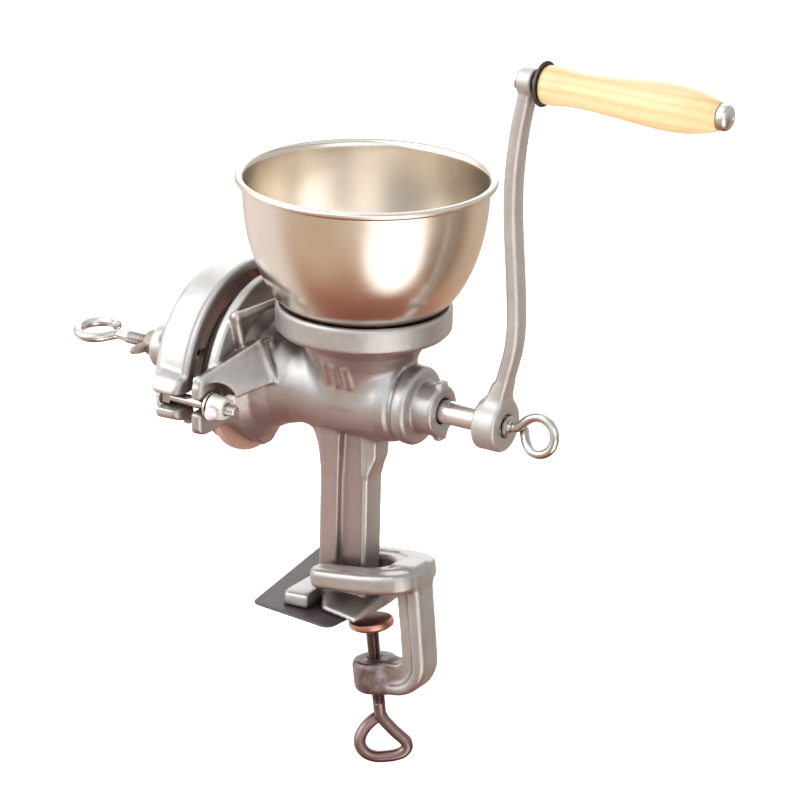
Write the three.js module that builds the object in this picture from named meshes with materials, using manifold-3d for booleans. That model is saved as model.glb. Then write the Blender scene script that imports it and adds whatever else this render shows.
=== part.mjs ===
// Hand-cranked cast-metal grain mill with a table clamp.
// Millimetres, +Z up. Origin: underside of the table plate, straight below the hopper axis.
// +X runs along the grinding shaft towards the crank, +Y is the far side.
import * as THREE from 'three';
import { mergeVertices } from 'three/addons/utils/BufferGeometryUtils.js';
import { ConvexGeometry } from 'three/addons/geometries/ConvexGeometry.js';
import Module from 'manifold-3d';

const wasm = await Module();
wasm.setup();

// ---------- driving dimensions ----------
const SHAFT_Z = 130;          // height of the grinding shaft above the table
const SHAFT_R = 6.7;
const GAP = 0.3;              // clearance between touching pieces
const BARREL_R = 24;
const BARREL_BORE_R = 20.2;
const FLANGE_R = 57;          // grinding flange of the body
const FLANGE_X = -69;         // its face
const COLLAR_R = 49.8;        // ring that carries the bowl
const COLLAR_TOP = 184;
const COLLAR_BOTTOM = 168.5;
const RIM_R = 70.8;           // bowl rim, centre line of the rolled bead
const BEAD_R = 2.2;
const RIM_Z = 255.5;
const BOWL_T = 1.2;
const PLATE_R = 48;           // grinding plates
const ROTOR_PLATE_R = 44.5;
const COVER_X = -76.5;        // open edge of the cover
const COVER_R = 62.5;
const COVER_WALL_R = 59.5;
const COVER_OPEN = 18;        // the hood ends this far below the shaft
const BOLT_Y = 61;            // cover bolts either side of the shaft
const BOLT_Z = 127;
const BOLT_R = 3.3;
const CRANK_RADIUS = 198;
const HUB_X0 = 79.5, HUB_X1 = 94.3, HUB_R = 15.2;
const GRIP_X0 = 112.5, GRIP_X1 = 216;
const POST_X0 = -22, POST_X1 = 9.5, POST_HALF_Y = 8.3;
const FOOT_Z = 1.8;           // underside of the foot, on top of the table plate
const PLATE_T = 1.5;
const CLAMP_TILT = 7.5;       // the clamp hangs slightly askew on the post
const CLAMP_PIVOT_Z = 24;
const SCREW_X = 5.1;          // clamp screw axis in the clamp's own frame
const SCREW_R = 3.75;

// ---------- helpers ----------
function toSolid(geometry) {
  const g = geometry.clone();
  g.deleteAttribute('normal');
  g.deleteAttribute('uv');
  const m = mergeVertices(g.index ? g : g, 1e-4);
  const p = m.attributes.position.array;
  const idx = m.index.array;
  const keep = [];
  for (let i = 0; i < idx.length; i += 3) {
    const a = idx[i], b = idx[i + 1], c = idx[i + 2];
    if (a !== b && b !== c && a !== c) keep.push(a, b, c);
  }
  let vol = 0;
  for (let i = 0; i < keep.length; i += 3) {
    const [a, b, c] = [keep[i] * 3, keep[i + 1] * 3, keep[i + 2] * 3];
    vol += p[a] * (p[b + 1] * p[c + 2] - p[b + 2] * p[c + 1])
      - p[a + 1] * (p[b] * p[c + 2] - p[b + 2] * p[c])
      + p[a + 2] * (p[b] * p[c + 1] - p[b + 1] * p[c]);
  }
  if (vol < 0) for (let i = 0; i < keep.length; i += 3) [keep[i + 1], keep[i + 2]] = [keep[i + 2], keep[i + 1]];
  return new wasm.Manifold(new wasm.Mesh({ numProp: 3, vertProperties: new Float32Array(p), triVerts: new Uint32Array(keep) }));
}
function toGeometry(solid) {
  const m = solid.getMesh();
  const g = new THREE.BufferGeometry();
  g.setAttribute('position', new THREE.BufferAttribute(new Float32Array(m.vertProperties), 3));
  g.setIndex(new THREE.BufferAttribute(new Uint32Array(m.triVerts), 1));
  g.computeVertexNormals();
  return g;
}
const join = (...s) => s.reduce((a, b) => a.add(b));
const cut = (s, ...t) => t.reduce((a, b) => a.subtract(b), s);

// profile [r, x] turned about the shaft line (parallel to X at height z)
function turnX(profile, seg = 32, y = 0, z = SHAFT_Z) {
  const g = new THREE.LatheGeometry(profile.map(([r, x]) => new THREE.Vector2(Math.max(r, 0), x)), seg);
  g.rotateZ(-Math.PI / 2);
  g.translate(0, y, z);
  return toSolid(g);
}
// profile [r, z] turned about a vertical axis
function turnZ(profile, seg = 48, x = 0, y = 0) {
  const g = new THREE.LatheGeometry(profile.map(([r, z]) => new THREE.Vector2(Math.max(r, 0), z)), seg);
  g.rotateX(Math.PI / 2);
  g.translate(x, y, 0);
  return toSolid(g);
}
const rodX = (r, x0, x1, seg = 24, y = 0, z = SHAFT_Z) => turnX([[0, x0], [r, x0], [r, x1], [0, x1]], seg, y, z);
const rodZ = (r, z0, z1, seg = 24, x = 0, y = 0) => turnZ([[0, z0], [r, z0], [r, z1], [0, z1]], seg, x, y);
function rodY(r, y0, y1, x, z, seg = 16) {
  const g = new THREE.CylinderGeometry(r, r, y1 - y0, seg);
  g.translate(x, (y0 + y1) / 2, z);
  return toSolid(g);
}
function box(x0, x1, y0, y1, z0, z1) {
  const g = new THREE.BoxGeometry(x1 - x0, y1 - y0, z1 - z0);
  g.translate((x0 + x1) / 2, (y0 + y1) / 2, (z0 + z1) / 2);
  return toSolid(g);
}
const hull = (...pts) => toSolid(new ConvexGeometry(pts.map((p) => new THREE.Vector3(...p))));
// outline in the XY plane, raised from z0 to z1
function plateXY(points, z0, z1) {
  const g = new THREE.ExtrudeGeometry(new THREE.Shape(points.map(([x, y]) => new THREE.Vector2(x, y))), { depth: z1 - z0, bevelEnabled: false });
  g.translate(0, 0, z0);
  return toSolid(g);
}
// outline in the XZ plane, spread over y0..y1
function plateXZ(points, y0, y1) {
  const g = new THREE.ExtrudeGeometry(new THREE.Shape(points.map(([x, z]) => new THREE.Vector2(x, z))), { depth: y1 - y0, bevelEnabled: false });
  g.rotateX(Math.PI / 2);
  g.translate(0, y1, 0);
  return toSolid(g);
}
function roundedOutline(points, radius, steps = 4) {
  const out = [];
  const n = points.length;
  for (let i = 0; i < n; i++) {
    const p = new THREE.Vector2(...points[i]);
    const a = new THREE.Vector2(...points[(i + n - 1) % n]).sub(p);
    const b = new THREE.Vector2(...points[(i + 1) % n]).sub(p);
    const r = Array.isArray(radius) ? radius[i] : radius;
    if (r <= 0) { out.push([p.x, p.y]); continue; }
    const half = Math.acos(THREE.MathUtils.clamp(a.clone().normalize().dot(b.clone().normalize()), -1, 1)) / 2;
    const d = Math.min(r / Math.tan(half), a.length() * 0.49, b.length() * 0.49);
    const p0 = p.clone().add(a.normalize().multiplyScalar(d));
    const p1 = p.clone().add(b.normalize().multiplyScalar(d));
    for (let k = 0; k <= steps; k++) {
      const t = k / steps;
      const q0 = p0.clone().lerp(p, t), q1 = p.clone().lerp(p1, t);
      const q = q0.lerp(q1, t);
      out.push([q.x, q.y]);
    }
  }
  return out;
}
// round rod bent along points; closed ends
function bentRod(points, r, steps = 40, sides = 10) {
  const curve = new THREE.CatmullRomCurve3(points.map((p) => new THREE.Vector3(...p)), false, 'centripetal');
  const circle = new THREE.Shape();
  for (let i = 0; i < sides; i++) {
    const a = (i / sides) * 2 * Math.PI;
    if (i === 0) circle.moveTo(r * Math.cos(a), r * Math.sin(a)); else circle.lineTo(r * Math.cos(a), r * Math.sin(a));
  }
  return toSolid(new THREE.ExtrudeGeometry(circle, { steps, bevelEnabled: false, extrudePath: curve }));
}
// eye of a bent-rod handle: leaves the rod at `from`, loops in the plane of (along, side)
function eyePoints(start, along, side, radius, lift, neck, flat = 1) {
  const s = new THREE.Vector3(...start), a = new THREE.Vector3(...along).normalize(), b = new THREE.Vector3(...side).normalize();
  const n = new THREE.Vector3().crossVectors(a, b);
  const pts = [];
  const put = (u, v, w = 0) => pts.push(s.clone().addScaledVector(a, u).addScaledVector(b, v).addScaledVector(n, w).toArray());
  put(-neck, 0); put(-neck * 0.45, 0);
  const c = radius * flat + lift;
  // starts near the rod, sweeps one side, the far end, the other side, and stops short of the rod
  for (let d = -150; d <= 138; d += 36) {
    const t = THREE.MathUtils.degToRad(d);
    put(c + radius * flat * Math.cos(t), -radius * Math.sin(t) * 1.02, d > 90 ? (d - 90) / 48 * 1.2 : 0);
  }
  return pts;
}

const group = new THREE.Group();
const casting = { color: 0xb4b2ae, roughness: 0.42, metalness: 0.85 };
const steel = { color: 0xc2c0bd, roughness: 0.28, metalness: 0.95 };
function part(name, solid, look, parent = group) {
  const mesh = new THREE.Mesh(toGeometry(solid), new THREE.MeshStandardMaterial(look));
  mesh.name = name;
  parent.add(mesh);
  return mesh;
}

// ---------- body casting ----------
{
  const Z = SHAFT_Z;
  // barrel, funnel to the grinding flange, front bearing horn
  const barrel = turnX([
    [0, FLANGE_X], [FLANGE_R - 1, FLANGE_X], [FLANGE_R, FLANGE_X + 1.2], [FLANGE_R, FLANGE_X + 5], [FLANGE_R - 1.5, FLANGE_X + 6.5],
    [39, FLANGE_X + 7], [33, -56], [27.6, -46], [24.8, -36], [BARREL_R, -24], [BARREL_R, 22], [22.8, 27],
    [20.6, 29], [20.6, 31.2], [22.3, 32.8], [22.6, 38], [21, 40.2], [15.4, 41], [14.8, 43], [14.8, 52], [13.6, 53.6], [0, 53.6],
  ], 32);
  // neck and collar under the bowl
  const neck = turnZ([
    [0, 130], [22.5, 130], [25.5, 140], [30, 151], [35, 161], [39.5, 165.5], [47.6, COLLAR_BOTTOM - 0.4], [COLLAR_R, COLLAR_BOTTOM + 2],
    [COLLAR_R, COLLAR_TOP - 1.2], [COLLAR_R - 1.2, COLLAR_TOP], [0, COLLAR_TOP],
  ], 36);
  let body = join(barrel, neck);
  // lower corners of the flange are cut away so that the plates can drop the meal
  for (const [ny, nz, dist] of [[-0.58, -0.815, 39], [0.64, -0.768, 36.2], [0, -1, 44]]) {
    const n = [ny, nz], t = [-n[1], n[0]];
    const at = (d, s) => [n[0] * d + t[0] * s, Z + n[1] * d + t[1] * s];
    const q = [at(dist, -60), at(dist, 60), at(dist + 40, 60), at(dist + 40, -60)];
    body = cut(body, hull(...q.map(([y, z]) => [FLANGE_X - 1, y, z]), ...q.map(([y, z]) => [FLANGE_X + 9, y, z])));
  }
  // ears and gussets that carry the cover bolts
  for (const s of [-1, 1]) {
    const ear = hull(
      [-71, s * 51, Z - 21], [-62.5, s * 51, Z - 21], [-71, s * 51, Z + 13.5], [-62.5, s * 51, Z + 14],
      [-71, s * 66, Z - 21], [-62.5, s * 66, Z - 20], [-71, s * 66, Z + 11.5], [-62.5, s * 66, Z + 12.5],
      [-69.5, s * 69, Z - 18], [-64, s * 69, Z - 17.5], [-69.5, s * 69, Z + 9], [-64, s * 69, Z + 10]);
    const gusset = hull(
      [-69, s * 67, Z + 12.5], [-64, s * 68, Z + 12.8], [-69, s * 60, Z - 5], [-62, s * 64, Z - 6],
      [-66, s * 22, Z + 27], [-47, s * 23, Z + 27], [-40.5, s * 25, Z + 5], [-60, s * 20, Z], [-44, s * 30, Z + 4.5]);
    const lower = hull(
      [-69, s * 52, Z - 20], [-63, s * 52, Z - 20], [-69, s * 52, Z - 10], [-63, s * 52, Z - 10],
      [-69, s * 30, Z - 22], [-62, s * 30, Z - 22], [-69, s * 30, Z - 8], [-60, s * 30, Z - 8]);
    const slot = box(-75, -40, Math.min(s * 56, s * 75), Math.max(s * 56, s * 75), BOLT_Z - 4.2, BOLT_Z + 4.2);
    const slotEnd = rodX(4.2, -75, -40, 16, s * 56.5, BOLT_Z);
    body = cut(join(body, ear, gusset, lower), slot, slotEnd, rodX(13, -62.5, -38, 24, s * BOLT_Y, BOLT_Z));
  }
  // stiffening ribs on the back of the flange, framing a sunk pocket
  const bar = (a, b, r) => hull(...[a, b].flatMap(([x, y, z]) => [[x - 7, y - r, z], [x - 7, y + r, z], [x - 7, y, z - r], [x - 7, y, z + r], [x, y - r * 0.6, z], [x, y + r * 0.6, z], [x, y, z + r * 0.6], [x, y, z - r * 0.6]]));
  for (const s of [-1, 1]) {
    body = join(body,
      bar([-57.5, s * 37, Z + 42], [-57.5, s * 33, Z + 20], 2.4),
      bar([-57.5, s * 37, Z + 42], [-50, s * 9, Z + 46], 2.2),
      bar([-57.5, s * 33, Z + 20], [-50, s * 18, Z + 24], 2.2));
  }
  // post: I section with a broad rear flange, flared where it meets the barrel
  const top = Z - 12;
  const post = join(
    box(POST_X0, POST_X0 + 12, -POST_HALF_Y, POST_HALF_Y, FOOT_Z, top),
    box(POST_X1 - 3.5, POST_X1, -POST_HALF_Y, POST_HALF_Y, FOOT_Z, top),
    box(POST_X0 + 6, POST_X1 - 1, -3.4, 3.4, FOOT_Z, top),
    box(POST_X0, POST_X1, -POST_HALF_Y, POST_HALF_Y, FOOT_Z, FOOT_Z + 12),
    hull([POST_X0, -POST_HALF_Y, 88], [POST_X0, POST_HALF_Y, 88], [POST_X0 + 12, -POST_HALF_Y, 88], [POST_X0 + 12, POST_HALF_Y, 88],
      [POST_X0 - 11, -10, top + 2], [POST_X0 - 11, 10, top + 2], [POST_X0 + 14, -11, top + 2], [POST_X0 + 14, 11, top + 2]),
    hull([POST_X1 - 3.5, -POST_HALF_Y, 84], [POST_X1 - 3.5, POST_HALF_Y, 84], [POST_X1, -POST_HALF_Y, 84], [POST_X1, POST_HALF_Y, 84],
      [POST_X1 - 6, -10, top + 2], [POST_X1 - 6, 10, top + 2], [POST_X1 + 5.5, -9, top + 2], [POST_X1 + 5.5, 9, top + 2],
      [POST_X1 + 5, -POST_HALF_Y, 93], [POST_X1 + 5, POST_HALF_Y, 93]));
  body = join(body, post);
  // foot: a broad heel and a pair of sloping toes either side of the post
  body = join(body, hull([-36, -24, FOOT_Z], [-33, -27.5, FOOT_Z], [-17.5, -27, FOOT_Z], [-36, 24, FOOT_Z], [-33, 27.5, FOOT_Z], [-17.5, 27, FOOT_Z],
    [-35, -24, 9], [-32.5, -26.5, 9], [-18, -26, 9.6], [-35, 24, 9], [-32.5, 26.5, 9], [-18, 26, 9.6], [-34, -22, 10], [-18, -22, 11], [-34, 22, 10], [-18, 22, 11]));
  for (const s of [-1, 1]) {
    body = join(body, hull([-10.2, s * 23.4, FOOT_Z], [15.6, s * 28.6, FOOT_Z], [-17.6, s * 12, FOOT_Z], [-17.6, 0, FOOT_Z], [17.5, 0, FOOT_Z],
      [-9.6, s * 22.8, 4.8], [15, s * 27.9, 4.8], [-17.6, s * 11.6, 8.5], [-17.6, 0, 11], [17, s * 12, 9.5], [16.5, 0, 11]));
  }
  // two small lugs at the end of the bearing horn
  body = join(body, hull([48.5, -5, Z + 11], [54.6, -5, Z + 11], [48.5, 5, Z + 11], [54.6, 5, Z + 11], [49.5, -4, Z + 17.6], [54.2, -4, Z + 17.6], [49.5, 4, Z + 17.6], [54.2, 4, Z + 17.6]),
    hull([48.5, -4.5, Z - 11], [54.6, -4.5, Z - 11], [48.5, 4.5, Z - 11], [54.6, 4.5, Z - 11], [49.5, -4, Z - 17.4], [54.2, -4, Z - 17.4], [49.5, 4, Z - 17.4], [54.2, 4, Z - 17.4]));
  const throat = turnZ([[0, 126], [18.5, 126], [22, 147], [26.5, 158], [31.5, 164], [39, 168], [39, 177.6], [46.4, 177.6], [46.4, 200], [0, 200]], 36);
  const bore = turnX([[0, FLANGE_X - 4], [BARREL_BORE_R, FLANGE_X - 4], [BARREL_BORE_R, 24], [0, 24]], 24);
  const bearing = rodX(SHAFT_R + 0.45, 20, 60, 24);
  const screwHoles = [-1, 1].map((s) => rodX(2.3, FLANGE_X - 2, FLANGE_X + 5.2, 12, s * 30, Z + 27));
  body = cut(body, throat, bore, bearing, ...screwHoles);
  // bars of the cast mark, on the near side of the neck
  const marks = [0, 1, 2].map((i) => {
    const x = -9 + i * 7.2, slant = 1.1;
    const face = (dx, r, proud) => -Math.sqrt(r * r - (x + dx) ** 2) - proud;
    return hull([x, face(0, 25.3, 1.7), Z + 9.5], [x + 4.2, face(4.2, 25.3, 1.7), Z + 9.5 + slant], [x, face(0, 31.6, 1.7), Z + 24.5], [x + 4.2, face(4.2, 31.6, 1.7), Z + 24.5 + slant],
      [x, -19, Z + 9.5], [x + 4.2, -19, Z + 9.5 + slant], [x, -19, Z + 24.5], [x + 4.2, -19, Z + 24.5 + slant]);
  });
  body = join(body, ...marks);
  body = cut(body, throat, bore);
  part('body_casting', body, casting);
}

// ---------- hopper bowl ----------
{
  const outer = [[37.6, 168.4], [37.6, 178.2], [43.2, 180.6], [47, 184.9], [53.6, 193], [60.2, 205.5], [64.6, 218.5], [67.2, 231], [69, 253.2]];
  const inner = outer.map(([r, z], i) => {
    const a = outer[Math.max(i - 1, 0)], b = outer[Math.min(i + 1, outer.length - 1)];
    const t = new THREE.Vector2(b[0] - a[0], b[1] - a[1]).normalize();
    return [r - t.y * BOWL_T, z + t.x * BOWL_T];
  });
  const bead = [];
  for (let k = 0; k <= 5; k++) {
    const a = THREE.MathUtils.degToRad(-130 + k * 60);
    bead.push([RIM_R + BEAD_R * Math.cos(a), RIM_Z - 0 + BEAD_R * Math.sin(a)]);
  }
  inner[0] = [37.6 - BOWL_T, 168.4];
  const profile = [...outer, ...bead.slice(0, 5), ...inner.reverse(), outer[0]];
  part('hopper_bowl', turnZ(profile, 40), { color: 0xcbbfae, roughness: 0.22, metalness: 1.0 });
}

// ---------- shaft, feed screw and grinding plates ----------
part('main_shaft', (() => {
  let s = turnX([[0, -101.5], [5.6, -101.5], [SHAFT_R, -100], [SHAFT_R, 77.5], [6, 78.4], [6, 93.9], [0, 93.9]], 24);
  s = cut(s, rodX(3.35, 74, 96, 16), rodY(2.2, -12, 12, -92, SHAFT_Z, 12), rodX(2.6, -103, -99.6, 16));
  return s;
})(), steel);

part('feed_screw', (() => {
  const core = turnX([[7.1, -66], [10.5, -66], [11.5, -50], [10.5, 18], [7.1, 18], [7.1, -66]], 24);
  const pts = [];
  for (let i = 0; i <= 60; i++) {
    const a = (i / 60) * 2 * Math.PI * 3;
    pts.push(new THREE.Vector3(-60 + i / 60 * 72, 14.3 * Math.cos(a), SHAFT_Z + 14.3 * Math.sin(a)));
  }
  const sec = new THREE.Shape([[-4.2, -1.5], [4.2, -2.4], [4.2, 2.4], [-4.2, 1.5]].map((p) => new THREE.Vector2(...p)));
  const flight = toSolid(new THREE.ExtrudeGeometry(sec, { steps: 36, bevelEnabled: false, extrudePath: new THREE.CatmullRomCurve3(pts) }));
  return cut(join(core, flight), rodX(7.1, -70, 30, 24));
})(), { color: 0x9c9a96, roughness: 0.5, metalness: 0.8 });

function ridges(x0, x1, phase, length = 20) {
  const out = [];
  for (let i = 0; i < 12; i++) {
    const a = (i / 12) * 2 * Math.PI + phase;
    const g = new THREE.BoxGeometry(x1 - x0, length, 2.6);
    g.translate((x0 + x1) / 2, 25.5 + length / 2, 0);
    g.rotateX(a);
    g.translate(0, 0, SHAFT_Z);
    out.push(toSolid(g));
  }
  return out;
}
part('fixed_grinding_plate', (() => {
  let s = turnX([[21, -73.4], [24, -72.6], [45, -73.6], [PLATE_R, -73.4], [PLATE_R, FLANGE_X - GAP], [21, FLANGE_X - GAP], [21, -73.4]], 32);
  s = join(s, ...ridges(-74.3, -72, 0));
  return cut(s, ...[-1, 1].map((d) => rodX(2.5, -80, -60, 12, d * 30, SHAFT_Z + 27)), ...[-1, 1].map((d) => rodX(4.3, -75, -71.1, 12, d * 30, SHAFT_Z + 27)));
})(), { color: 0x8f8b86, roughness: 0.55, metalness: 0.8 });
for (const [name, d] of [['plate_screw_near', -1], ['plate_screw_far', 1]]) {
  part(name, turnX([[0, -73.6], [3.8, -73.6], [3.8, -72.2], [2, -71.4], [2, -64.4], [0, -64.4]], 12, d * 30, SHAFT_Z + 27), steel);
}
part('rotating_grinding_plate', (() => {
  let s = turnX([[12.4, -80.6], [ROTOR_PLATE_R, -80.6], [ROTOR_PLATE_R, -76.6], [42, -76.2], [24, -77.2], [12.4, -77], [12.4, -80.6]], 32);
  s = join(s, ...ridges(-77.6, -75.5, 0.13, 17));
  return cut(s, ...[-1, 1].map((d) => rodX(3.4, -84, -74, 12, d * 20, SHAFT_Z)));
})(), { color: 0x8f8b86, roughness: 0.55, metalness: 0.8 });
part('plate_carrier', (() => {
  let s = turnX([[7, -100], [12, -100], [12.4, -88], [28, -84.6], [30, -83.4], [30, -80.9], [12.1, -80.9], [12.1, -76.9], [7, -76.9], [7, -100]], 24);
  s = join(s, ...[-1, 1].map((d) => rodX(3, -82, -77.9, 12, d * 20, SHAFT_Z)));
  return cut(s, rodY(2.2, -14, 14, -92, SHAFT_Z, 12));
})(), casting);
part('drive_pin', rodY(1.9, -13.6, 13.6, -92, SHAFT_Z, 12), steel);

// ---------- grinding cover ----------
part('grinding_cover', (() => {
  const shell = turnX([
    [56, COVER_X], [COVER_R - 1, COVER_X], [COVER_R, COVER_X - 1], [COVER_R, COVER_X - 3.6], [COVER_WALL_R + 0.8, COVER_X - 5.2], [COVER_WALL_R, -86], [COVER_WALL_R - 0.4, -98], [58, -101.4], [54.5, -103.8],
    [36, -111.4], [15, -122.6], [13.2, -127], [13, -138.8], [0, -138.8],
    [0, -124.5], [9, -122.4], [35, -108.2], [53, -100.6], [56, -97], [56, COVER_X],
  ], 32);
  let s = shell;
  for (const k of [-1, 1]) {
    const y0 = k * 52, y1 = k * 71;
    s = join(s, hull([-77, y0, SHAFT_Z - 16], [-77, y0, SHAFT_Z + 13], [-98, y0, SHAFT_Z - 17], [-98, y0, SHAFT_Z + 14],
      [-77, k * 67, SHAFT_Z - 15], [-77, k * 67, SHAFT_Z + 9], [-97, k * 67, SHAFT_Z - 15.5], [-97, k * 67, SHAFT_Z + 10.5],
      [-80, y1, SHAFT_Z - 12], [-80, y1, SHAFT_Z + 5], [-95, y1, SHAFT_Z - 13], [-95, y1, SHAFT_Z + 6]));
    s = cut(s, box(-102, -74, Math.min(k * 57, k * 80), Math.max(k * 57, k * 80), BOLT_Z - 4.2, BOLT_Z + 4.2), rodX(4.2, -102, -74, 16, k * 57, BOLT_Z), rodX(6, -106, -92.5, 16, k * BOLT_Y, BOLT_Z), box(-110, -92.5, Math.min(k * 59.7, k * 80), Math.max(k * 59.7, k * 80), 90, BOLT_Z - 2));
  }
  // keep the inside of the drum clear of the ears, and leave the lower side open for the meal
  return cut(s, turnX([[0, -70], [56, -70], [56, -97], [53, -100.6], [35, -108.2], [9, -122.4], [0, -124.5]], 32), rodX(4.25, -145, -110, 24),
    box(-150, -70, -80, 80, 40, SHAFT_Z - COVER_OPEN));
})(), casting);

for (const [tag, k] of [['near', -1], ['far', 1]]) {
  const y = k * BOLT_Y;
  part('cover_bolt_' + tag, join(
    turnX([[0, -95.3], [3.2, -95.2], [4.8, -94.3], [5.3, -93.1], [5.3, -92.8], [BOLT_R, -92.8], [BOLT_R, -44], [0, -44]], 16, y, BOLT_Z),
    box(-92.9, -87, y - 3.4, y + 3.4, BOLT_Z - 3.4, BOLT_Z + 3.4)), steel);
  part('washer_' + tag, turnX([[3.75, -62.2], [8, -62.2], [8, -60.7], [3.75, -60.7], [3.75, -62.2]], 20, y, BOLT_Z), steel);
  let nut = turnX([[3.75, -60.4], [7.4, -60.4], [6.6, -57], [6, -50.5], [3.75, -50.5], [3.75, -60.4]], 20, y, BOLT_Z);
  const tilt = k * 0.35;
  for (const w of [-1, 1]) {
    const dir = (u, v) => [y + w * u * Math.cos(tilt), BOLT_Z + w * u * Math.sin(tilt) + v];
    const pts = [];
    for (const [x, u, h] of [[-59.5, 5.2, 2.6], [-53, 5, 2.2], [-56, 10.8, 2], [-50, 12.2, 1.9], [-46.5, 10.6, 1.9], [-50.5, 7, 2]]) for (const q of [-h, h]) {
      const [yy, zz] = dir(u, q);
      pts.push([x, yy, zz]);
    }
    nut = nut.add(hull(...pts));
  }
  part('wing_nut_' + tag, cut(nut, rodX(3.75, -66, -40, 20, y, BOLT_Z)), { color: 0xdad6cf, roughness: 0.3, metalness: 0.9 });
}

// ---------- plate adjustment ----------
part('thrust_ball', toSolid(new THREE.SphereGeometry(4.4, 12, 8).translate(-106.3, 0, SHAFT_Z)), steel);
part('adjusting_screw', (() => {
  const rod = turnX([[0, -171.5], [SCREW_R, -171.5], [SCREW_R, -112.5], [2.6, -111.1], [0, -111.1]], 20);
  const eye = bentRod(eyePoints([-170.5, 0, SHAFT_Z], [-1, 0, 0], [0, 0.97, 0.25], 11.4, 1.6, 4), 2.85, 26, 8);
  return join(rod, eye);
})(), steel);
part('lock_nut', (() => {
  let n = turnX([[4.3, -139.2], [8.6, -139.2], [8.2, -142], [7, -146.5], [4.3, -146.5], [4.3, -139.2]], 20);
  for (const w of [-1, 1]) {
    const pts = [];
    for (const [x, u, h] of [[-139.8, 6, 2.4], [-145.5, 5.6, 2.1], [-144, 14.6, 1.9], [-147.4, 17.2, 1.8], [-150, 15.6, 1.8], [-148, 9.5, 1.9]]) for (const q of [-h, h]) pts.push([x, w * u, SHAFT_Z + q]);
    n = n.add(hull(...pts));
  }
  return cut(n, rodX(4.3, -160, -130, 20));
})(), casting);

// ---------- crank and grip ----------
const GRIP_Z = SHAFT_Z + CRANK_RADIUS;
part('crank_arm', (() => {
  const path = new THREE.CatmullRomCurve3([
    [87.5, 138], [89.5, 146], [92.3, 156], [95.3, 167], [97.4, 177], [98.3, 188], [97.9, 202], [96.6, 220], [95, 238], [94, 254], [93.8, 270], [94.6, 284], [96, 297], [97.8, 308], [99.6, 317], [101, 325.5],
  ].map(([x, z]) => new THREE.Vector3(x, 0, z)));
  const sec = new THREE.Shape();
  const hx = 3.7, hy = 5.4, n = 8;
  for (let i = 0; i < n; i++) {
    const a = (i / n) * 2 * Math.PI;
    const c = Math.cos(a), s = Math.sin(a);
    const px = Math.sign(c) * Math.abs(c) ** 0.75 * hy, py = Math.sign(s) * Math.abs(s) ** 0.75 * hx;
    if (i === 0) sec.moveTo(px, py); else sec.lineTo(px, py);
  }
  const bar = toSolid(new THREE.ExtrudeGeometry(sec, { steps: 20, bevelEnabled: false, extrudePath: path }));
  const hub = turnX([[0, HUB_X0], [HUB_R - 1, HUB_X0], [HUB_R, HUB_X0 + 1.2], [HUB_R, HUB_X1 - 1.2], [HUB_R - 1.2, HUB_X1], [0, HUB_X1]], 24);
  const root = hull([82, -8, SHAFT_Z + 11], [82, 8, SHAFT_Z + 11], [93.5, -8, SHAFT_Z + 11], [93.5, 8, SHAFT_Z + 11],
    [86.5, -5.2, SHAFT_Z + 25], [86.5, 5.2, SHAFT_Z + 25], [95.4, -5.2, SHAFT_Z + 25], [95.4, 5.2, SHAFT_Z + 25]);
  const head = turnX([[0, 96.4], [6.4, 96.4], [7.4, 97.4], [7.4, 104.4], [6.4, 105.4], [0, 105.4]], 16, 0, GRIP_Z);
  let s = join(bar, hub, root, head);
  return cut(s, turnX([[0, 77], [7, 77], [7, 79], [7, 79.2], [6.35, 80], [6.35, 100], [0, 100]], 24), rodX(3.5, 92, 110, 16, 0, GRIP_Z));
})(), casting);
part('crank_screw', (() => {
  const rod = turnX([[0, 76.5], [3, 76.5], [3, 94.7], [6.2, 94.7], [6.2, 96.6], [3.4, 97.4], [2.9, 101.8], [0, 101.8]], 20);
  const eye = bentRod(eyePoints([101.8, 0, SHAFT_Z], [1, 0, -0.11], [0, 0.12, 1], 10.4, 2.2, 3), 2.6, 26, 8);
  return join(rod, eye);
})(), steel);
part('grip_bolt', turnX([[0, 94], [5, 94], [5.6, 94.8], [5.6, 96.1], [3.2, 96.1], [3.2, GRIP_X1 + 0.3], [7.2, GRIP_X1 + 0.3], [7.2, GRIP_X1 + 3.4], [6, GRIP_X1 + 5.6], [3.4, GRIP_X1 + 6.6], [0, GRIP_X1 + 6.8]], 16, 0, GRIP_Z), steel);
part('grip_washer', turnX([[3.6, 109.2], [12.6, 109.2], [12.6, 111], [3.6, 111], [3.6, 109.2]], 24, 0, GRIP_Z), { color: 0x5c5a58, roughness: 0.5, metalness: 0.8 });
part('grip_spacer', turnX([[3.6, 105.8], [5.6, 105.8], [5.6, 108.9], [3.6, 108.9], [3.6, 105.8]], 20, 0, GRIP_Z), steel);
part('wooden_grip', turnX([
  [3.7, GRIP_X0 - 1.2], [9.2, GRIP_X0 - 1.2], [10.2, GRIP_X0], [9.8, 130], [9.9, 143], [12.1, 172], [12.6, 184], [12.1, 197], [8.8, 213], [7.6, GRIP_X1], [3.7, GRIP_X1], [3.7, GRIP_X0 - 1.2],
], 24, 0, GRIP_Z), { color: 0xe9cd92, roughness: 0.45, metalness: 0.0 });

// ---------- table clamp (hangs a little askew on the post) ----------
const tilted = new THREE.Group();
tilted.position.set(0, 0, CLAMP_PIVOT_Z);
tilted.rotation.y = -THREE.MathUtils.degToRad(CLAMP_TILT);
const local = new THREE.Group();
local.position.set(0, 0, -CLAMP_PIVOT_Z);
tilted.add(local);
group.add(tilted);

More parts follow.
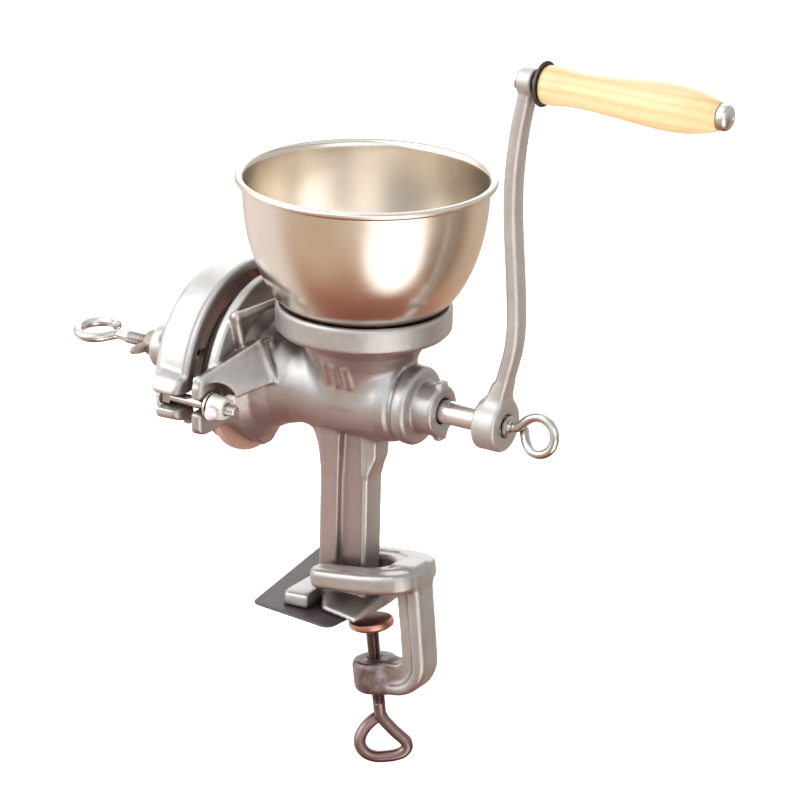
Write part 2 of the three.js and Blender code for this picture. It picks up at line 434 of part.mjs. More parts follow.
part('clamp_bracket', (() => {
  // side view of the spine and the lower arm
  const outline = roundedOutline([[27, 29.5], [44.5, 29.5], [43, -49.4], [SCREW_X, -49.4], [SCREW_X, -31], [28, -31], [28.5, 20], [27, 20]],
    [0, 7, 21, 0, 0, 8, 0, 0], 5);
  const spine = plateXZ(outline, -9.6, 9.6);
  // upper fork: two arms pass either side of the post
  const fork = [];
  const arc = (cx, cy, r, a0, a1, n) => { for (let i = 0; i <= n; i++) { const a = THREE.MathUtils.degToRad(a0 + (a1 - a0) * i / n); fork.push([cx + r * Math.cos(a), cy + r * Math.sin(a)]); } };
  fork.push([44.5, -9.6]); fork.push([44.5, 9.6]);
  arc(21, 14, 11.5, 60, 90, 2);
  arc(-12, 17.3, 8.2, 90, 265, 6);
  arc(10, 15.5, 6, 270, 300, 1);
  fork.push([22, 6]); fork.push([24, 0]); fork.push([22, -6]);
  arc(10, -15.5, 6, 60, 90, 1);
  arc(-12, -17.3, 8.2, 95, 270, 6);
  arc(21, -14, 11.5, 270, 300, 2);
  const upper = plateXY(fork, 19.8, 28.6);
  const boss = rodZ(13.2, -50, -31, 28, SCREW_X, 0);
  const s = join(spine, upper, boss);
  return cut(s, rodZ(SCREW_R + 0.4, -60, -20, 24, SCREW_X, 0));
})(), casting, local);
part('pressure_pad', turnZ([[0, -6.9], [11.8, -6.9], [13, -7.9], [13, -10.5], [11, -12.3], [8, -13.5], [4.2, -13.5], [4.2, -10.5], [0, -10.5]], 20, SCREW_X, 0), steel, local);
part('clamp_screw', (() => {
  const rod = turnZ([[0, -10.9], [3, -10.9], [SCREW_R, -12.1], [SCREW_R, -69], [0, -69]], 20, SCREW_X, 0);
  const eye = bentRod(eyePoints([SCREW_X, 0, -68.5], [0, 0, -1], [0.85, 0.53, 0], 13.2, 1.4, 4, 0.8), 3.6, 28, 8);
  return join(rod, eye);
})(), steel, local);

// ---------- plate between the foot and the table ----------
part('table_plate', plateXY(roundedOutline([[-50.5, -33.5], [6, -40], [13, 60], [-65, 64]], [6, 7, 7, 7], 5), 0, PLATE_T), { color: 0x57525a, roughness: 0.6, metalness: 0.5 });

export default group;
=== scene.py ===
import math
import bpy
import bmesh
import numpy as np
from mathutils import Matrix, Vector


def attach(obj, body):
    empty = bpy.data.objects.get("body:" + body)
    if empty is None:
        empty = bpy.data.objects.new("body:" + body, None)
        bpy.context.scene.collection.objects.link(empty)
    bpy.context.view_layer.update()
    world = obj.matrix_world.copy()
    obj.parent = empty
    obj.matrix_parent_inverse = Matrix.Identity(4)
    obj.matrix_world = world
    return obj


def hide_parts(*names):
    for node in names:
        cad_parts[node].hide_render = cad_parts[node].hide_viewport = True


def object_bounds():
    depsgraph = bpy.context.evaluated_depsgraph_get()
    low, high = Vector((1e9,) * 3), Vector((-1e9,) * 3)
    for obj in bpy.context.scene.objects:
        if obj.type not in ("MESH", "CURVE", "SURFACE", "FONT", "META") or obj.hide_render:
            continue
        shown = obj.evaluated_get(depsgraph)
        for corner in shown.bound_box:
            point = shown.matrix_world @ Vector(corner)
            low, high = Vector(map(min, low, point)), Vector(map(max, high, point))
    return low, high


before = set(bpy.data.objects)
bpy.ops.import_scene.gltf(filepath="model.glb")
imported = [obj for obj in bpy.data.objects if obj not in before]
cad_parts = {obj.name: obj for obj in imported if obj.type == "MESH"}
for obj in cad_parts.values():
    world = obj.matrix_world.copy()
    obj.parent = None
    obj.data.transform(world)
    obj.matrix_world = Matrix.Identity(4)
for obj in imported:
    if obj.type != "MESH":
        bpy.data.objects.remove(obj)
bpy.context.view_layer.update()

MM = 0.001
SZ = 130.0          # height of the shaft
F32 = np.float32

# ------------------------------------------------------------------ small maths

def smin(a, b, k):
    if k <= 0:
        return np.minimum(a, b)
    h = np.clip(0.5 + 0.5 * (b - a) / k, 0.0, 1.0)
    return b + (a - b) * h - k * h * (1.0 - h)


def smax(a, b, k):
    return -smin(-a, -b, k)


def poly_sdf(pts, P, Q):
    """signed distance of the points (P, Q) to a closed outline, negative inside"""
    pts = np.asarray(pts, float)
    best = np.full(P.shape, 1e9, F32)
    sign = np.ones(P.shape, F32)
    n = len(pts)
    for i in range(n):
        ax, ay = pts[i]
        bx, by = pts[(i + 1) % n]
        ex, ey = bx - ax, by - ay
        L = ex * ex + ey * ey
        if L < 1e-12:
            continue
        wx, wy = P - ax, Q - ay
        t = np.clip((wx * ex + wy * ey) / L, 0, 1)
        dx, dy = wx - ex * t, wy - ey * t
        best = np.minimum(best, (dx * dx + dy * dy).astype(F32))
        c1 = Q >= ay
        c2 = Q < by
        c3 = (ex * wy) > (ey * wx)
        flip = (c1 & c2 & c3) | (~c1 & ~c2 & ~c3)
        sign = np.where(flip, -sign, sign)
    return (np.sqrt(best) * sign).astype(F32)


def line_dist(pts, P, Q):
    pts = np.asarray(pts, float)
    best = np.full(P.shape, 1e9, F32)
    for (ax, ay), (bx, by) in zip(pts[:-1], pts[1:]):
        ex, ey = bx - ax, by - ay
        L = ex * ex + ey * ey
        if L < 1e-12:
            continue
        wx, wy = P - ax, Q - ay
        t = np.clip((wx * ex + wy * ey) / L, 0, 1)
        best = np.minimum(best, ((wx - ex * t) ** 2 + (wy - ey * t) ** 2).astype(F32))
    return np.sqrt(best)


class Table:
    """a 2-D field sampled once and looked up by linear interpolation"""

    def __init__(self, fn, lo, hi, h):
        self.lo, self.h = lo, h
        n = [int(math.ceil((hi[i] - lo[i]) / h)) + 1 for i in range(2)]
        P, Q = np.meshgrid(lo[0] + h * np.arange(n[0]), lo[1] + h * np.arange(n[1]), indexing="ij")
        self.T = fn(P, Q).astype(F32)
        self.n = n

    def __call__(self, P, Q):
        u = np.clip((P - self.lo[0]) / self.h, 0, self.n[0] - 1.001)
        v = np.clip((Q - self.lo[1]) / self.h, 0, self.n[1] - 1.001)
        u, v = np.broadcast_arrays(u, v)
        i, j = u.astype(np.int32), v.astype(np.int32)
        fu, fv = (u - i).astype(F32), (v - j).astype(F32)
        T = self.T
        return (T[i, j] * (1 - fu) * (1 - fv) + T[i + 1, j] * fu * (1 - fv) + T[i, j + 1] * (1 - fu) * fv + T[i + 1, j + 1] * fu * fv)


def value_noise(P, scale, seed=0):
    """smooth lattice noise in -1..1 at points P (n, 3)"""
    q = np.asarray(P, float) * scale
    i = np.floor(q).astype(np.int64)
    f = q - i
    f = f * f * (3 - 2 * f)

    def h(ix, iy, iz):
        n = (ix * 374761393 + iy * 668265263 + iz * 2147483647 + seed * 1274126177) & 0xFFFFFFFF
        n = ((n ^ (n >> 13)) * 1274126177) & 0xFFFFFFFF
        return ((n ^ (n >> 16)) & 0xFFFF) / 32767.5 - 1.0
    out = 0
    for dx in (0, 1):
        for dy in (0, 1):
            for dz in (0, 1):
                w = (f[:, 0] if dx else 1 - f[:, 0]) * (f[:, 1] if dy else 1 - f[:, 1]) * (f[:, 2] if dz else 1 - f[:, 2])
                out = out + w * h(i[:, 0] + dx, i[:, 1] + dy, i[:, 2] + dz)
    return out


def bez_corner(pts, rad, closed, steps=5):
    """rounds the corners of an outline; rad is one number or one per point"""
    pts = [np.array(p[:2], float) for p in pts]
    n = len(pts)
    out = []
    for i, p in enumerate(pts):
        r = rad[i] if isinstance(rad, (list, tuple)) else rad
        if (not closed and i in (0, n - 1)) or r <= 0:
            out.append(p)
            continue
        a, b = pts[i - 1] - p, pts[(i + 1) % n] - p
        la, lb = np.linalg.norm(a), np.linalg.norm(b)
        if la < 1e-9 or lb < 1e-9:
            out.append(p)
            continue
        c = np.clip(np.dot(a, b) / la / lb, -1, 1)
        half = math.acos(c) / 2
        d = min(r / max(math.tan(half), 1e-6), la * 0.48, lb * 0.48)
        p0, p1 = p + a / la * d, p + b / lb * d
        for k in range(steps + 1):
            t = k / steps
            out.append((1 - t) ** 2 * p0 + 2 * t * (1 - t) * p + t * t * p1)
    return [tuple(q) for q in out]


def catmull(points, per=12, alpha=0.5):
    """centripetal Catmull-Rom through the points"""
    P = [np.array(p, float) for p in points]
    P = [2 * P[0] - P[1]] + P + [2 * P[-1] - P[-2]]
    out = []
    for i in range(1, len(P) - 2):
        p0, p1, p2, p3 = P[i - 1:i + 3]
        t0 = 0.0
        t1 = t0 + max(np.linalg.norm(p1 - p0), 1e-9) ** alpha
        t2 = t1 + max(np.linalg.norm(p2 - p1), 1e-9) ** alpha
        t3 = t2 + max(np.linalg.norm(p3 - p2), 1e-9) ** alpha
        for k in range(per):
            t = t1 + (t2 - t1) * k / per
            a1 = (t1 - t) / (t1 - t0) * p0 + (t - t0) / (t1 - t0) * p1
            a2 = (t2 - t) / (t2 - t1) * p1 + (t - t1) / (t2 - t1) * p2
            a3 = (t3 - t) / (t3 - t2) * p2 + (t - t2) / (t3 - t2) * p3
            b1 = (t2 - t) / (t2 - t0) * a1 + (t - t0) / (t2 - t0) * a2
            b2 = (t3 - t) / (t3 - t1) * a2 + (t - t1) / (t3 - t1) * a3
            out.append((t2 - t) / (t2 - t1) * b1 + (t - t1) / (t2 - t1) * b2)
    out.append(P[-2])
    return np.array(out)


# ------------------------------------------------------------------ signed-distance modelling

class Shape:
    def __init__(self, lo, hi, f):
        self.lo, self.hi, self.f = lo, hi, f


class Field:
    def __init__(self, lo, hi, h):
        self.lo = np.array(lo, float) - 2.5 * h
        self.h = h
        self.n = np.ceil((np.array(hi, float) + 2.5 * h - self.lo) / h).astype(int) + 1
        self.ax = [(self.lo[i] + h * np.arange(self.n[i])).astype(F32) for i in range(3)]
        self.D = np.full(self.n, 50.0, F32)

    def win(self, lo, hi, pad):
        sl = []
        for i in range(3):
            a = min(max(0, int(math.floor((lo[i] - pad - self.lo[i]) / self.h))), self.n[i])
            b = max(min(self.n[i], int(math.ceil((hi[i] + pad - self.lo[i]) / self.h)) + 1), a)
            sl.append(slice(a, b))
        return tuple(sl), self.ax[0][sl[0]][:, None, None], self.ax[1][sl[1]][None, :, None], self.ax[2][sl[2]][None, None, :]

    def add(self, s, k=1.0, pad=None):
        sl, X, Y, Z = self.win(s.lo, s.hi, (pad if pad is not None else max(2.0, 1.6 * k)) + self.h)
        self.D[sl] = smin(self.D[sl], s.f(X, Y, Z), k)

    def cut(self, s, k=0.6):
        sl, X, Y, Z = self.win(s.lo, s.hi, k + self.h)
        self.D[sl] = smax(self.D[sl], -s.f(X, Y, Z), k)


def revolve(profile, axis, c1=0.0, c2=SZ, pad=9.0, h=0.2):
    """profile [r, t]; axis 'x' turns about (t, c1, c2), axis 'z' about (c1, c2, t)"""
    pr = [(max(r, 0.0), t) for r, t in profile]
    R = max(r for r, t in pr)
    t0, t1 = min(t for r, t in pr), max(t for r, t in pr)
    # mirrored so that the axis itself is not an edge
    full = pr + [(-r, t) for r, t in reversed(pr) if r > 1e-6]
    if min(r for r, t in pr) > 1e-3:
        tab = Table(lambda P, Q: poly_sdf(pr, P, Q), (0.0, t0 - pad), (R + pad, t1 + pad), h)
    else:
        tab = Table(lambda P, Q: poly_sdf(full, P, Q), (0.0, t0 - pad), (R + pad, t1 + pad), h)
    if axis == "x":
        return Shape((t0, c1 - R, c2 - R), (t1, c1 + R, c2 + R), lambda X, Y, Z: tab(np.sqrt((Y - c1) ** 2 + (Z - c2) ** 2), X))
    return Shape((c1 - R, c2 - R, t0), (c1 + R, c2 + R, t1), lambda X, Y, Z: tab(np.sqrt((X - c1) ** 2 + (Y - c2) ** 2), Z))


def rod(axis, r, a, b, c1=0.0, c2=SZ, k=0.5):
    def f(X, Y, Z):
        if axis == "x":
            d, t = np.sqrt((Y - c1) ** 2 + (Z - c2) ** 2) - r, X
        elif axis == "y":
            d, t = np.sqrt((X - c1) ** 2 + (Z - c2) ** 2) - r, Y
        else:
            d, t = np.sqrt((X - c1) ** 2 + (Y - c2) ** 2) - r, Z
        return smax(d + 0 * t, np.abs(t - (a + b) / 2) - (b - a) / 2 + 0 * d, k).astype(F32)
    if axis == "x":
        return Shape((a, c1 - r, c2 - r), (b, c1 + r, c2 + r), f)
    if axis == "y":
        return Shape((c1 - r, a, c2 - r), (c1 + r, b, c2 + r), f)
    return Shape((c1 - r, c2 - r, a), (c1 + r, c2 + r, b), f)


def block(x0, x1, y0, y1, z0, z1, rnd=1.0):
    cx, cy, cz = (x0 + x1) / 2, (y0 + y1) / 2, (z0 + z1) / 2
    hx, hy, hz = abs(x1 - x0) / 2 - rnd, abs(y1 - y0) / 2 - rnd, abs(z1 - z0) / 2 - rnd

    def f(X, Y, Z):
        qx, qy, qz = np.abs(X - cx) - hx, np.abs(Y - cy) - hy, np.abs(Z - cz) - hz
        out = np.sqrt(np.maximum(qx, 0) ** 2 + np.maximum(qy, 0) ** 2 + np.maximum(qz, 0) ** 2)
        return (out + np.minimum(np.maximum(np.maximum(qx, qy), qz), 0) - rnd).astype(F32)
    return Shape((min(x0, x1), min(y0, y1), min(z0, z1)), (max(x0, x1), max(y0, y1), max(z0, z1)), f)


def hull(points, rnd=1.0):
    """convex body of the points with rounded edges"""
    bm = bmesh.new()
    for p in points:
        bm.verts.new(p)
    bmesh.ops.convex_hull(bm, input=bm.verts)
    planes = []
    for fc in bm.faces:
        n = fc.normal.copy()
        fc.normal_update()
        n = fc.normal.copy()
        d = n.dot(fc.verts[0].co)
        if n.length < 0.5:
            continue
        for m, e in planes:
            if m.dot(n) > 0.9995 and abs(e - d) < 0.05:
                break
        else:
            planes.append((n, d))
    bm.free()
    P = np.array(points, float)
    c = P.mean(0)
    planes = [(n, d) if n.dot(Vector(c)) < d else (-n, -d) for n, d in planes]

    def f(X, Y, Z):
        out = None
        for n, d in planes:
            v = X * F32(n.x) + Y * F32(n.y) + Z * F32(n.z) - F32(d)
            out = v if out is None else smax(out, v, rnd)
        return (out + 0.12 * rnd).astype(F32)
    return Shape(P.min(0), P.max(0), f)


def extrude(outline, plane, a, b, rnd=1.5, h=0.2, pad=8.0):
    o = np.array(outline, float)
    lo, hi = o.min(0), o.max(0)
    tab = Table(lambda P, Q: poly_sdf(outline, P, Q), lo - pad, hi + pad, h)

    def f(X, Y, Z):
        d, t = (tab(X, Z), Y) if plane == "xz" else ((tab(X, Y), Z) if plane == "xy" else (tab(Y, Z), X))
        e = np.abs(t - (a + b) / 2) - (b - a) / 2
        q1, q2 = d + rnd, e + rnd
        return (np.sqrt(np.maximum(q1, 0) ** 2 + np.maximum(q2, 0) ** 2) + np.minimum(np.maximum(q1, q2), 0) - rnd).astype(F32)
    if plane == "xz":
        return Shape((lo[0], a, lo[1]), (hi[0], b, hi[1]), f)
    if plane == "xy":
        return Shape((lo[0], lo[1], a), (hi[0], hi[1], b), f)
    return Shape((a, lo[0], lo[1]), (b, hi[0], hi[1]), f)


def capsule_bar(p0, p1, r0, r1, squash=(1, 1, 1)):
    p0, p1 = np.array(p0, float), np.array(p1, float)
    e = p1 - p0
    L = float(np.dot(e, e))
    m = max(r0, r1) / min(squash)

    def f(X, Y, Z):
        wx, wy, wz = X - p0[0], Y - p0[1], Z - p0[2]
        t = np.clip((wx * e[0] + wy * e[1] + wz * e[2]) / L, 0, 1)
        d = np.sqrt(((wx - e[0] * t) * squash[0]) ** 2 + ((wy - e[1] * t) * squash[1]) ** 2 + ((wz - e[2] * t) * squash[2]) ** 2)
        return (d - (r0 + (r1 - r0) * t)).astype(F32)
    return Shape(np.minimum(p0, p1) - m, np.maximum(p0, p1) + m, f)


def nets(field):
    """surface nets: one vertex per cell that the surface crosses"""
    D, h, lo = field.D, field.h, field.lo
    nx, ny, nz = D.shape
    S = D < 0
    cnt = np.zeros((nx - 1, ny - 1, nz - 1), np.int8)
    for dx in (0, 1):
        for dy in (0, 1):
            for dz in (0, 1):
                cnt += S[dx:nx - 1 + dx, dy:ny - 1 + dy, dz:nz - 1 + dz]
    act = (cnt > 0) & (cnt < 8)
    I = np.argwhere(act)
    vid = np.full(act.shape, -1, np.int32)
    vid[act] = np.arange(len(I))
    i, j, k = I[:, 0], I[:, 1], I[:, 2]
    acc = np.zeros((len(I), 3))
    num = np.zeros(len(I))
    corner = {}
    for dx in (0, 1):
        for dy in (0, 1):
            for dz in (0, 1):
                corner[dx, dy, dz] = D[i + dx, j + dy, k + dz].astype(float)
    for c, v in corner.items():
        for a in range(3):
            if c[a] == 0:
                e = list(c)
                e[a] = 1
                w = corner[tuple(e)]
                cross = (v < 0) != (w < 0)
                t = np.where(cross, v / np.where(cross, v - w, 1.0), 0.0)
                for b in range(3):
                    acc[:, b] += np.where(cross, c[b] + (t if b == a else 0.0), 0.0)
                num += cross
    V = (I + acc / num[:, None]) * h + lo
    faces = []
    for a in range(3):
        s0 = [slice(None)] * 3
        s1 = [slice(None)] * 3
        s0[a], s1[a] = slice(0, -1), slice(1, None)
        A, B = S[tuple(s0)], S[tuple(s1)]
        b, c = (a + 1) % 3, (a + 2) % 3
        E = np.argwhere(A != B)
        E = E[(E[:, b] > 0) & (E[:, c] > 0) & (E[:, b] < D.shape[b] - 1) & (E[:, c] < D.shape[c] - 1)]
        quad = []
        for ob, oc in ((-1, -1), (0, -1), (0, 0), (-1, 0)):
            Q = E.copy()
            Q[:, b] += ob
            Q[:, c] += oc
            quad.append(vid[Q[:, 0], Q[:, 1], Q[:, 2]])
        quad = np.stack(quad, 1)
        inside = S[E[:, 0], E[:, 1], E[:, 2]]
        quad[~inside] = quad[~inside][:, ::-1]
        faces.append(quad)
    Q = np.concatenate(faces)
    Q = Q[(Q >= 0).all(1)]
    return V, Q


def relax(V, Q, n=2, lam=0.5, mu=-0.52):
    """Taubin smoothing over the quads' edges"""
    E = np.concatenate([Q[:, [0, 1]], Q[:, [1, 2]], Q[:, [2, 3]], Q[:, [3, 0]]])
    N = len(V)
    deg = np.maximum(np.bincount(E[:, 0], minlength=N) + np.bincount(E[:, 1], minlength=N), 1)
    for _ in range(n):
        for w in (lam, mu):
            acc = np.stack([np.bincount(E[:, 0], V[E[:, 1], a], N) + np.bincount(E[:, 1], V[E[:, 0], a], N) for a in range(3)], 1)
            V = V + w * (acc / deg[:, None] - V)
    return V


def vertex_normals(V, Q):
    n = np.cross(V[Q[:, 2]] - V[Q[:, 0]], V[Q[:, 3]] - V[Q[:, 1]])
    out = np.zeros_like(V)
    for c in range(4):
        for a in range(3):
            out[:, a] += np.bincount(Q[:, c], n[:, a], len(V))
    return out / np.maximum(np.linalg.norm(out, axis=1, keepdims=True), 1e-12)


def make_mesh(name, V, Q, sharp=None):
    """V in millimetres, Q quads (or a list of polygons)"""
    me = bpy.data.meshes.new(name)
    V = np.asarray(V, float) * MM
    if isinstance(Q, np.ndarray):
        me.vertices.add(len(V))
        me.vertices.foreach_set("co", V.astype(F32).ravel())
        me.loops.add(Q.size)
        me.loops.foreach_set("vertex_index", Q.astype(np.int32).ravel())
        me.polygons.add(len(Q))
        me.polygons.foreach_set("loop_start", np.arange(0, Q.size, Q.shape[1], dtype=np.int32))
        me.update(calc_edges=True)
    else:
        me.from_pydata([tuple(v) for v in V], [], [list(q) for q in Q])
    me.validate()
    me.polygons.foreach_set("use_smooth", [True] * len(me.polygons))
    if sharp is not None:
        me.set_sharp_from_angle(angle=math.radians(sharp))
    me.update()
    ob = bpy.data.objects.new(name, me)
    bpy.context.scene.collection.objects.link(ob)
    return ob


TILT = math.radians(7.5)


def untilt(V):
    V = np.asarray(V, float)
    x, y, z = V[:, 0], V[:, 1], V[:, 2]
    return np.stack([x * math.cos(TILT) - (z - 24) * math.sin(TILT), y, 24 + x * math.sin(TILT) + (z - 24) * math.cos(TILT)], 1)


def skin(V, Q, amp=0.06, size=3.0, seed=1):
    """slight unevenness of a sand-cast surface"""
    N = vertex_normals(V, Q)
    d = value_noise(V, 1 / size, seed) * 0.6 + value_noise(V, 2.3 / size, seed + 7) * 0.4
    return V + N * (d * amp)[:, None]


def solid(name, field, relaxing=2, amp=0.0, size=3.0, seed=1, tilt=False):
    V, Q = nets(field)
    V = relax(V, Q, relaxing)
    if amp:
        V = skin(V, Q, amp, size, seed)
    if tilt:
        V = untilt(V)
    return make_mesh(name, V, Q)


def lathe(name, profile, axis="x", seg=96, c1=0.0, c2=SZ, sharp=32, tilt=False, wobble=None):
    """profile [r, t], from axis to axis or closed on itself"""
    prof = [(max(float(r), 0.0), float(t)) for r, t in profile]
    closed = not (prof[0][0] < 1e-6 and prof[-1][0] < 1e-6)
    if closed and abs(prof[0][0] - prof[-1][0]) < 1e-6 and abs(prof[0][1] - prof[-1][1]) < 1e-6:
        prof = prof[:-1]
    V, rings, F = [], [], []
    for r, t in prof:
        if r < 1e-6:
            rings.append([len(V)])
            V.append((0.0, 0.0, t))
        else:
            rings.append(list(range(len(V), len(V) + seg)))
            for k in range(seg):
                a = 2 * math.pi * k / seg
                rr = r + (wobble(a, r, t) if wobble else 0.0)
                V.append((rr * math.cos(a), rr * math.sin(a), t))
    m = len(rings)
    for i in range(m if closed else m - 1):
        A, B = rings[i], rings[(i + 1) % m]
        for k in range(seg):
            k2 = (k + 1) % seg
            if len(A) == 1 and len(B) == 1:
                continue
            if len(A) == 1:
                F.append([A[0], B[k2], B[k]])
            elif len(B) == 1:
                F.append([A[k], A[k2], B[0]])
            else:
                F.append([A[k], A[k2], B[k2], B[k]])
    V = np.array(V)
    if axis == "x":
        V = np.stack([V[:, 2], V[:, 0] + c1, V[:, 1] + c2], 1)
    else:
        V = np.stack([V[:, 0] + c1, V[:, 1] + c2, V[:, 2]], 1)
    # signed volume decides which way the faces look
    vol = 0.0
    for f in F:
        a = V[f[0]]
        for p, q in zip(f[1:-1], f[2:]):
            vol += float(np.dot(a, np.cross(V[p], V[q])))
    if vol < 0:
        F = [f[::-1] for f in F]
    if tilt:
        V = untilt(V)
    return make_mesh(name, V, F, sharp)


def thread_h(phase):
    p = phase - np.floor(phase)
    u = np.abs(p - 0.5) * 2
    return np.clip((u - 0.2) / 0.66, 0, 1)


def swept(name, path, radius, sides=32, start_normal=(0, 0, 1), tilt=False, sharp=40):
    """tube along a path (n, 3); radius(i, s, angles) gives the radii of ring i, at length s"""
    P = np.asarray(path, float)
    T = np.gradient(P, axis=0)
    # stations may repeat at a step in radius
    for i in range(len(T)):
        if np.linalg.norm(T[i]) < 1e-9:
            T[i] = T[i - 1]
    T /= np.linalg.norm(T, axis=1, keepdims=True)
    s = np.concatenate([[0], np.cumsum(np.linalg.norm(np.diff(P, axis=0), axis=1))])
    N = np.array(start_normal, float)
    N -= T[0] * np.dot(N, T[0])
    N /= np.linalg.norm(N)
    ang = np.arange(sides) / sides * 2 * math.pi
    V, F = [], []
    for i in range(len(P)):
        if i:
            v = T[i - 1] + T[i]
            v /= np.linalg.norm(v)
            N = N - 2 * np.dot(N, v) * v
            N = N - T[i] * np.dot(N, T[i])
            N /= np.linalg.norm(N)
        B = np.cross(T[i], N)
        r = np.broadcast_to(np.asarray(radius(i, s[i], ang), float), (sides,))
        for k in range(sides):
            V.append(P[i] + N * (math.cos(ang[k]) * r[k]) + B * (math.sin(ang[k]) * r[k]))
    n = len(P)
    for i in range(n - 1):
        for k in range(sides):
            k2 = (k + 1) % sides
            F.append([i * sides + k, i * sides + k2, (i + 1) * sides + k2, (i + 1) * sides + k])
    a, b = len(V), len(V) + 1
    V.append(P[0])
    V.append(P[-1])
    for k in range(sides):
        k2 = (k + 1) % sides
        F.append([a, k2, k])
        F.append([b, (n - 1) * sides + k, (n - 1) * sides + k2])
    V = np.array(V)
    if tilt:
        V = untilt(V)
    return make_mesh(name, V, F, sharp)


# ------------------------------------------------------------------ materials

def new_mat(name):
    m = bpy.data.materials.new(name)
    m.use_nodes = True
    nt = m.node_tree
    for n in list(nt.nodes):
        nt.nodes.remove(n)
    out = nt.nodes.new("ShaderNodeOutputMaterial")
    b = nt.nodes.new("ShaderNodeBsdfPrincipled")
    nt.links.new(b.outputs[0], out.inputs[0])
    return m, nt, b


class G:
    """short way to add nodes"""

    def __init__(self, nt):
        self.nt = nt
        tc = nt.nodes.new("ShaderNodeTexCoord")
        self.tex = tc
        self.obj = tc.outputs["Object"]

    def link(self, a, b):
        self.nt.links.new(a, b)

    def put(self, sock, v):
        if isinstance(v, bpy.types.NodeSocket):
            self.link(v, sock)
        else:
            sock.default_value = v

    def mapping(self, scale=(1, 1, 1), rot=(0, 0, 0), loc=(0, 0, 0), src=None):
        n = self.nt.nodes.new("ShaderNodeMapping")
        n.inputs["Scale"].default_value = scale
        n.inputs["Rotation"].default_value = rot
        n.inputs["Location"].default_value = loc
        self.link(src or self.obj, n.inputs["Vector"])
        return n.outputs[0]

    def noise(self, scale, detail=3, rough=0.5, src=None, distort=0.0):
        n = self.nt.nodes.new("ShaderNodeTexNoise")
        n.inputs["Scale"].default_value = scale
        n.inputs["Detail"].default_value = detail
        n.inputs["Roughness"].default_value = rough
        n.inputs["Distortion"].default_value = distort
        self.link(src or self.obj, n.inputs["Vector"])
        return n.outputs["Fac"]

    def voronoi(self, scale, src=None, feature="F1"):
        n = self.nt.nodes.new("ShaderNodeTexVoronoi")
        n.feature = feature
        n.inputs["Scale"].default_value = scale
        self.link(src or self.obj, n.inputs["Vector"])
        return n.outputs["Distance"]

    def ramp(self, fac, stops, interp="LINEAR"):
        n = self.nt.nodes.new("ShaderNodeValToRGB")
        n.color_ramp.interpolation = interp
        els = n.color_ramp.elements
        while len(els) > 1:
            els.remove(els[-1])
        els[0].position, els[0].color = stops[0][0], (*stops[0][1], 1) if len(stops[0][1]) == 3 else stops[0][1]
        for p, c in stops[1:]:
            e = els.new(p)
            e.color = (*c, 1) if len(c) == 3 else c
        self.put(n.inputs["Fac"], fac)
        return n.outputs["Color"]

    def grey(self, fac, lo, hi, a=0.0, b=1.0):
        n = self.nt.nodes.new("ShaderNodeMapRange")
        n.clamp = True
        for k, v in (("From Min", a), ("From Max", b), ("To Min", lo), ("To Max", hi)):
            n.inputs[k].default_value = v
        self.put(n.inputs["Value"], fac)
        return n.outputs["Result"]

    def math(self, op, a, b=0.0, c=None, clamp=False):
        n = self.nt.nodes.new("ShaderNodeMath")
        n.operation = op
        n.use_clamp = clamp
        self.put(n.inputs[0], a)
        self.put(n.inputs[1], b)
        if c is not None:
            self.put(n.inputs[2], c)
        return n.outputs[0]

    def mix(self, fac, a, b, blend="MIX"):
        n = self.nt.nodes.new("ShaderNodeMix")
        n.data_type = "RGBA"
        n.blend_type = blend
        self.put(n.inputs[0], fac)
        self.put(n.inputs[6], (*a, 1) if isinstance(a, tuple) and len(a) == 3 else a)
        self.put(n.inputs[7], (*b, 1) if isinstance(b, tuple) and len(b) == 3 else b)
        return n.outputs[2]

    def bump(self, height, strength=0.3, distance=0.0003, normal=None):
        n = self.nt.nodes.new("ShaderNodeBump")
        n.inputs["Strength"].default_value = strength
        n.inputs["Distance"].default_value = distance
        self.put(n.inputs["Height"], height)
        if normal is not None:
            self.link(normal, n.inputs["Normal"])
        return n.outputs["Normal"]

    def ao(self, dist=0.02, samples=6):
        n = self.nt.nodes.new("ShaderNodeAmbientOcclusion")
        n.samples = samples
        n.inputs["Distance"].default_value = dist
        return n.outputs["AO"]

    def point(self):
        n = self.nt.nodes.new("ShaderNodeNewGeometry")
        return n.outputs["Pointiness"]

    def sep(self, v=None):
        n = self.nt.nodes.new("ShaderNodeSeparateXYZ")
        self.link(v or self.obj, n.inputs[0])
        return n.outputs


def scaled(c, k):
    return tuple(min(1.0, v * k) for v in c)


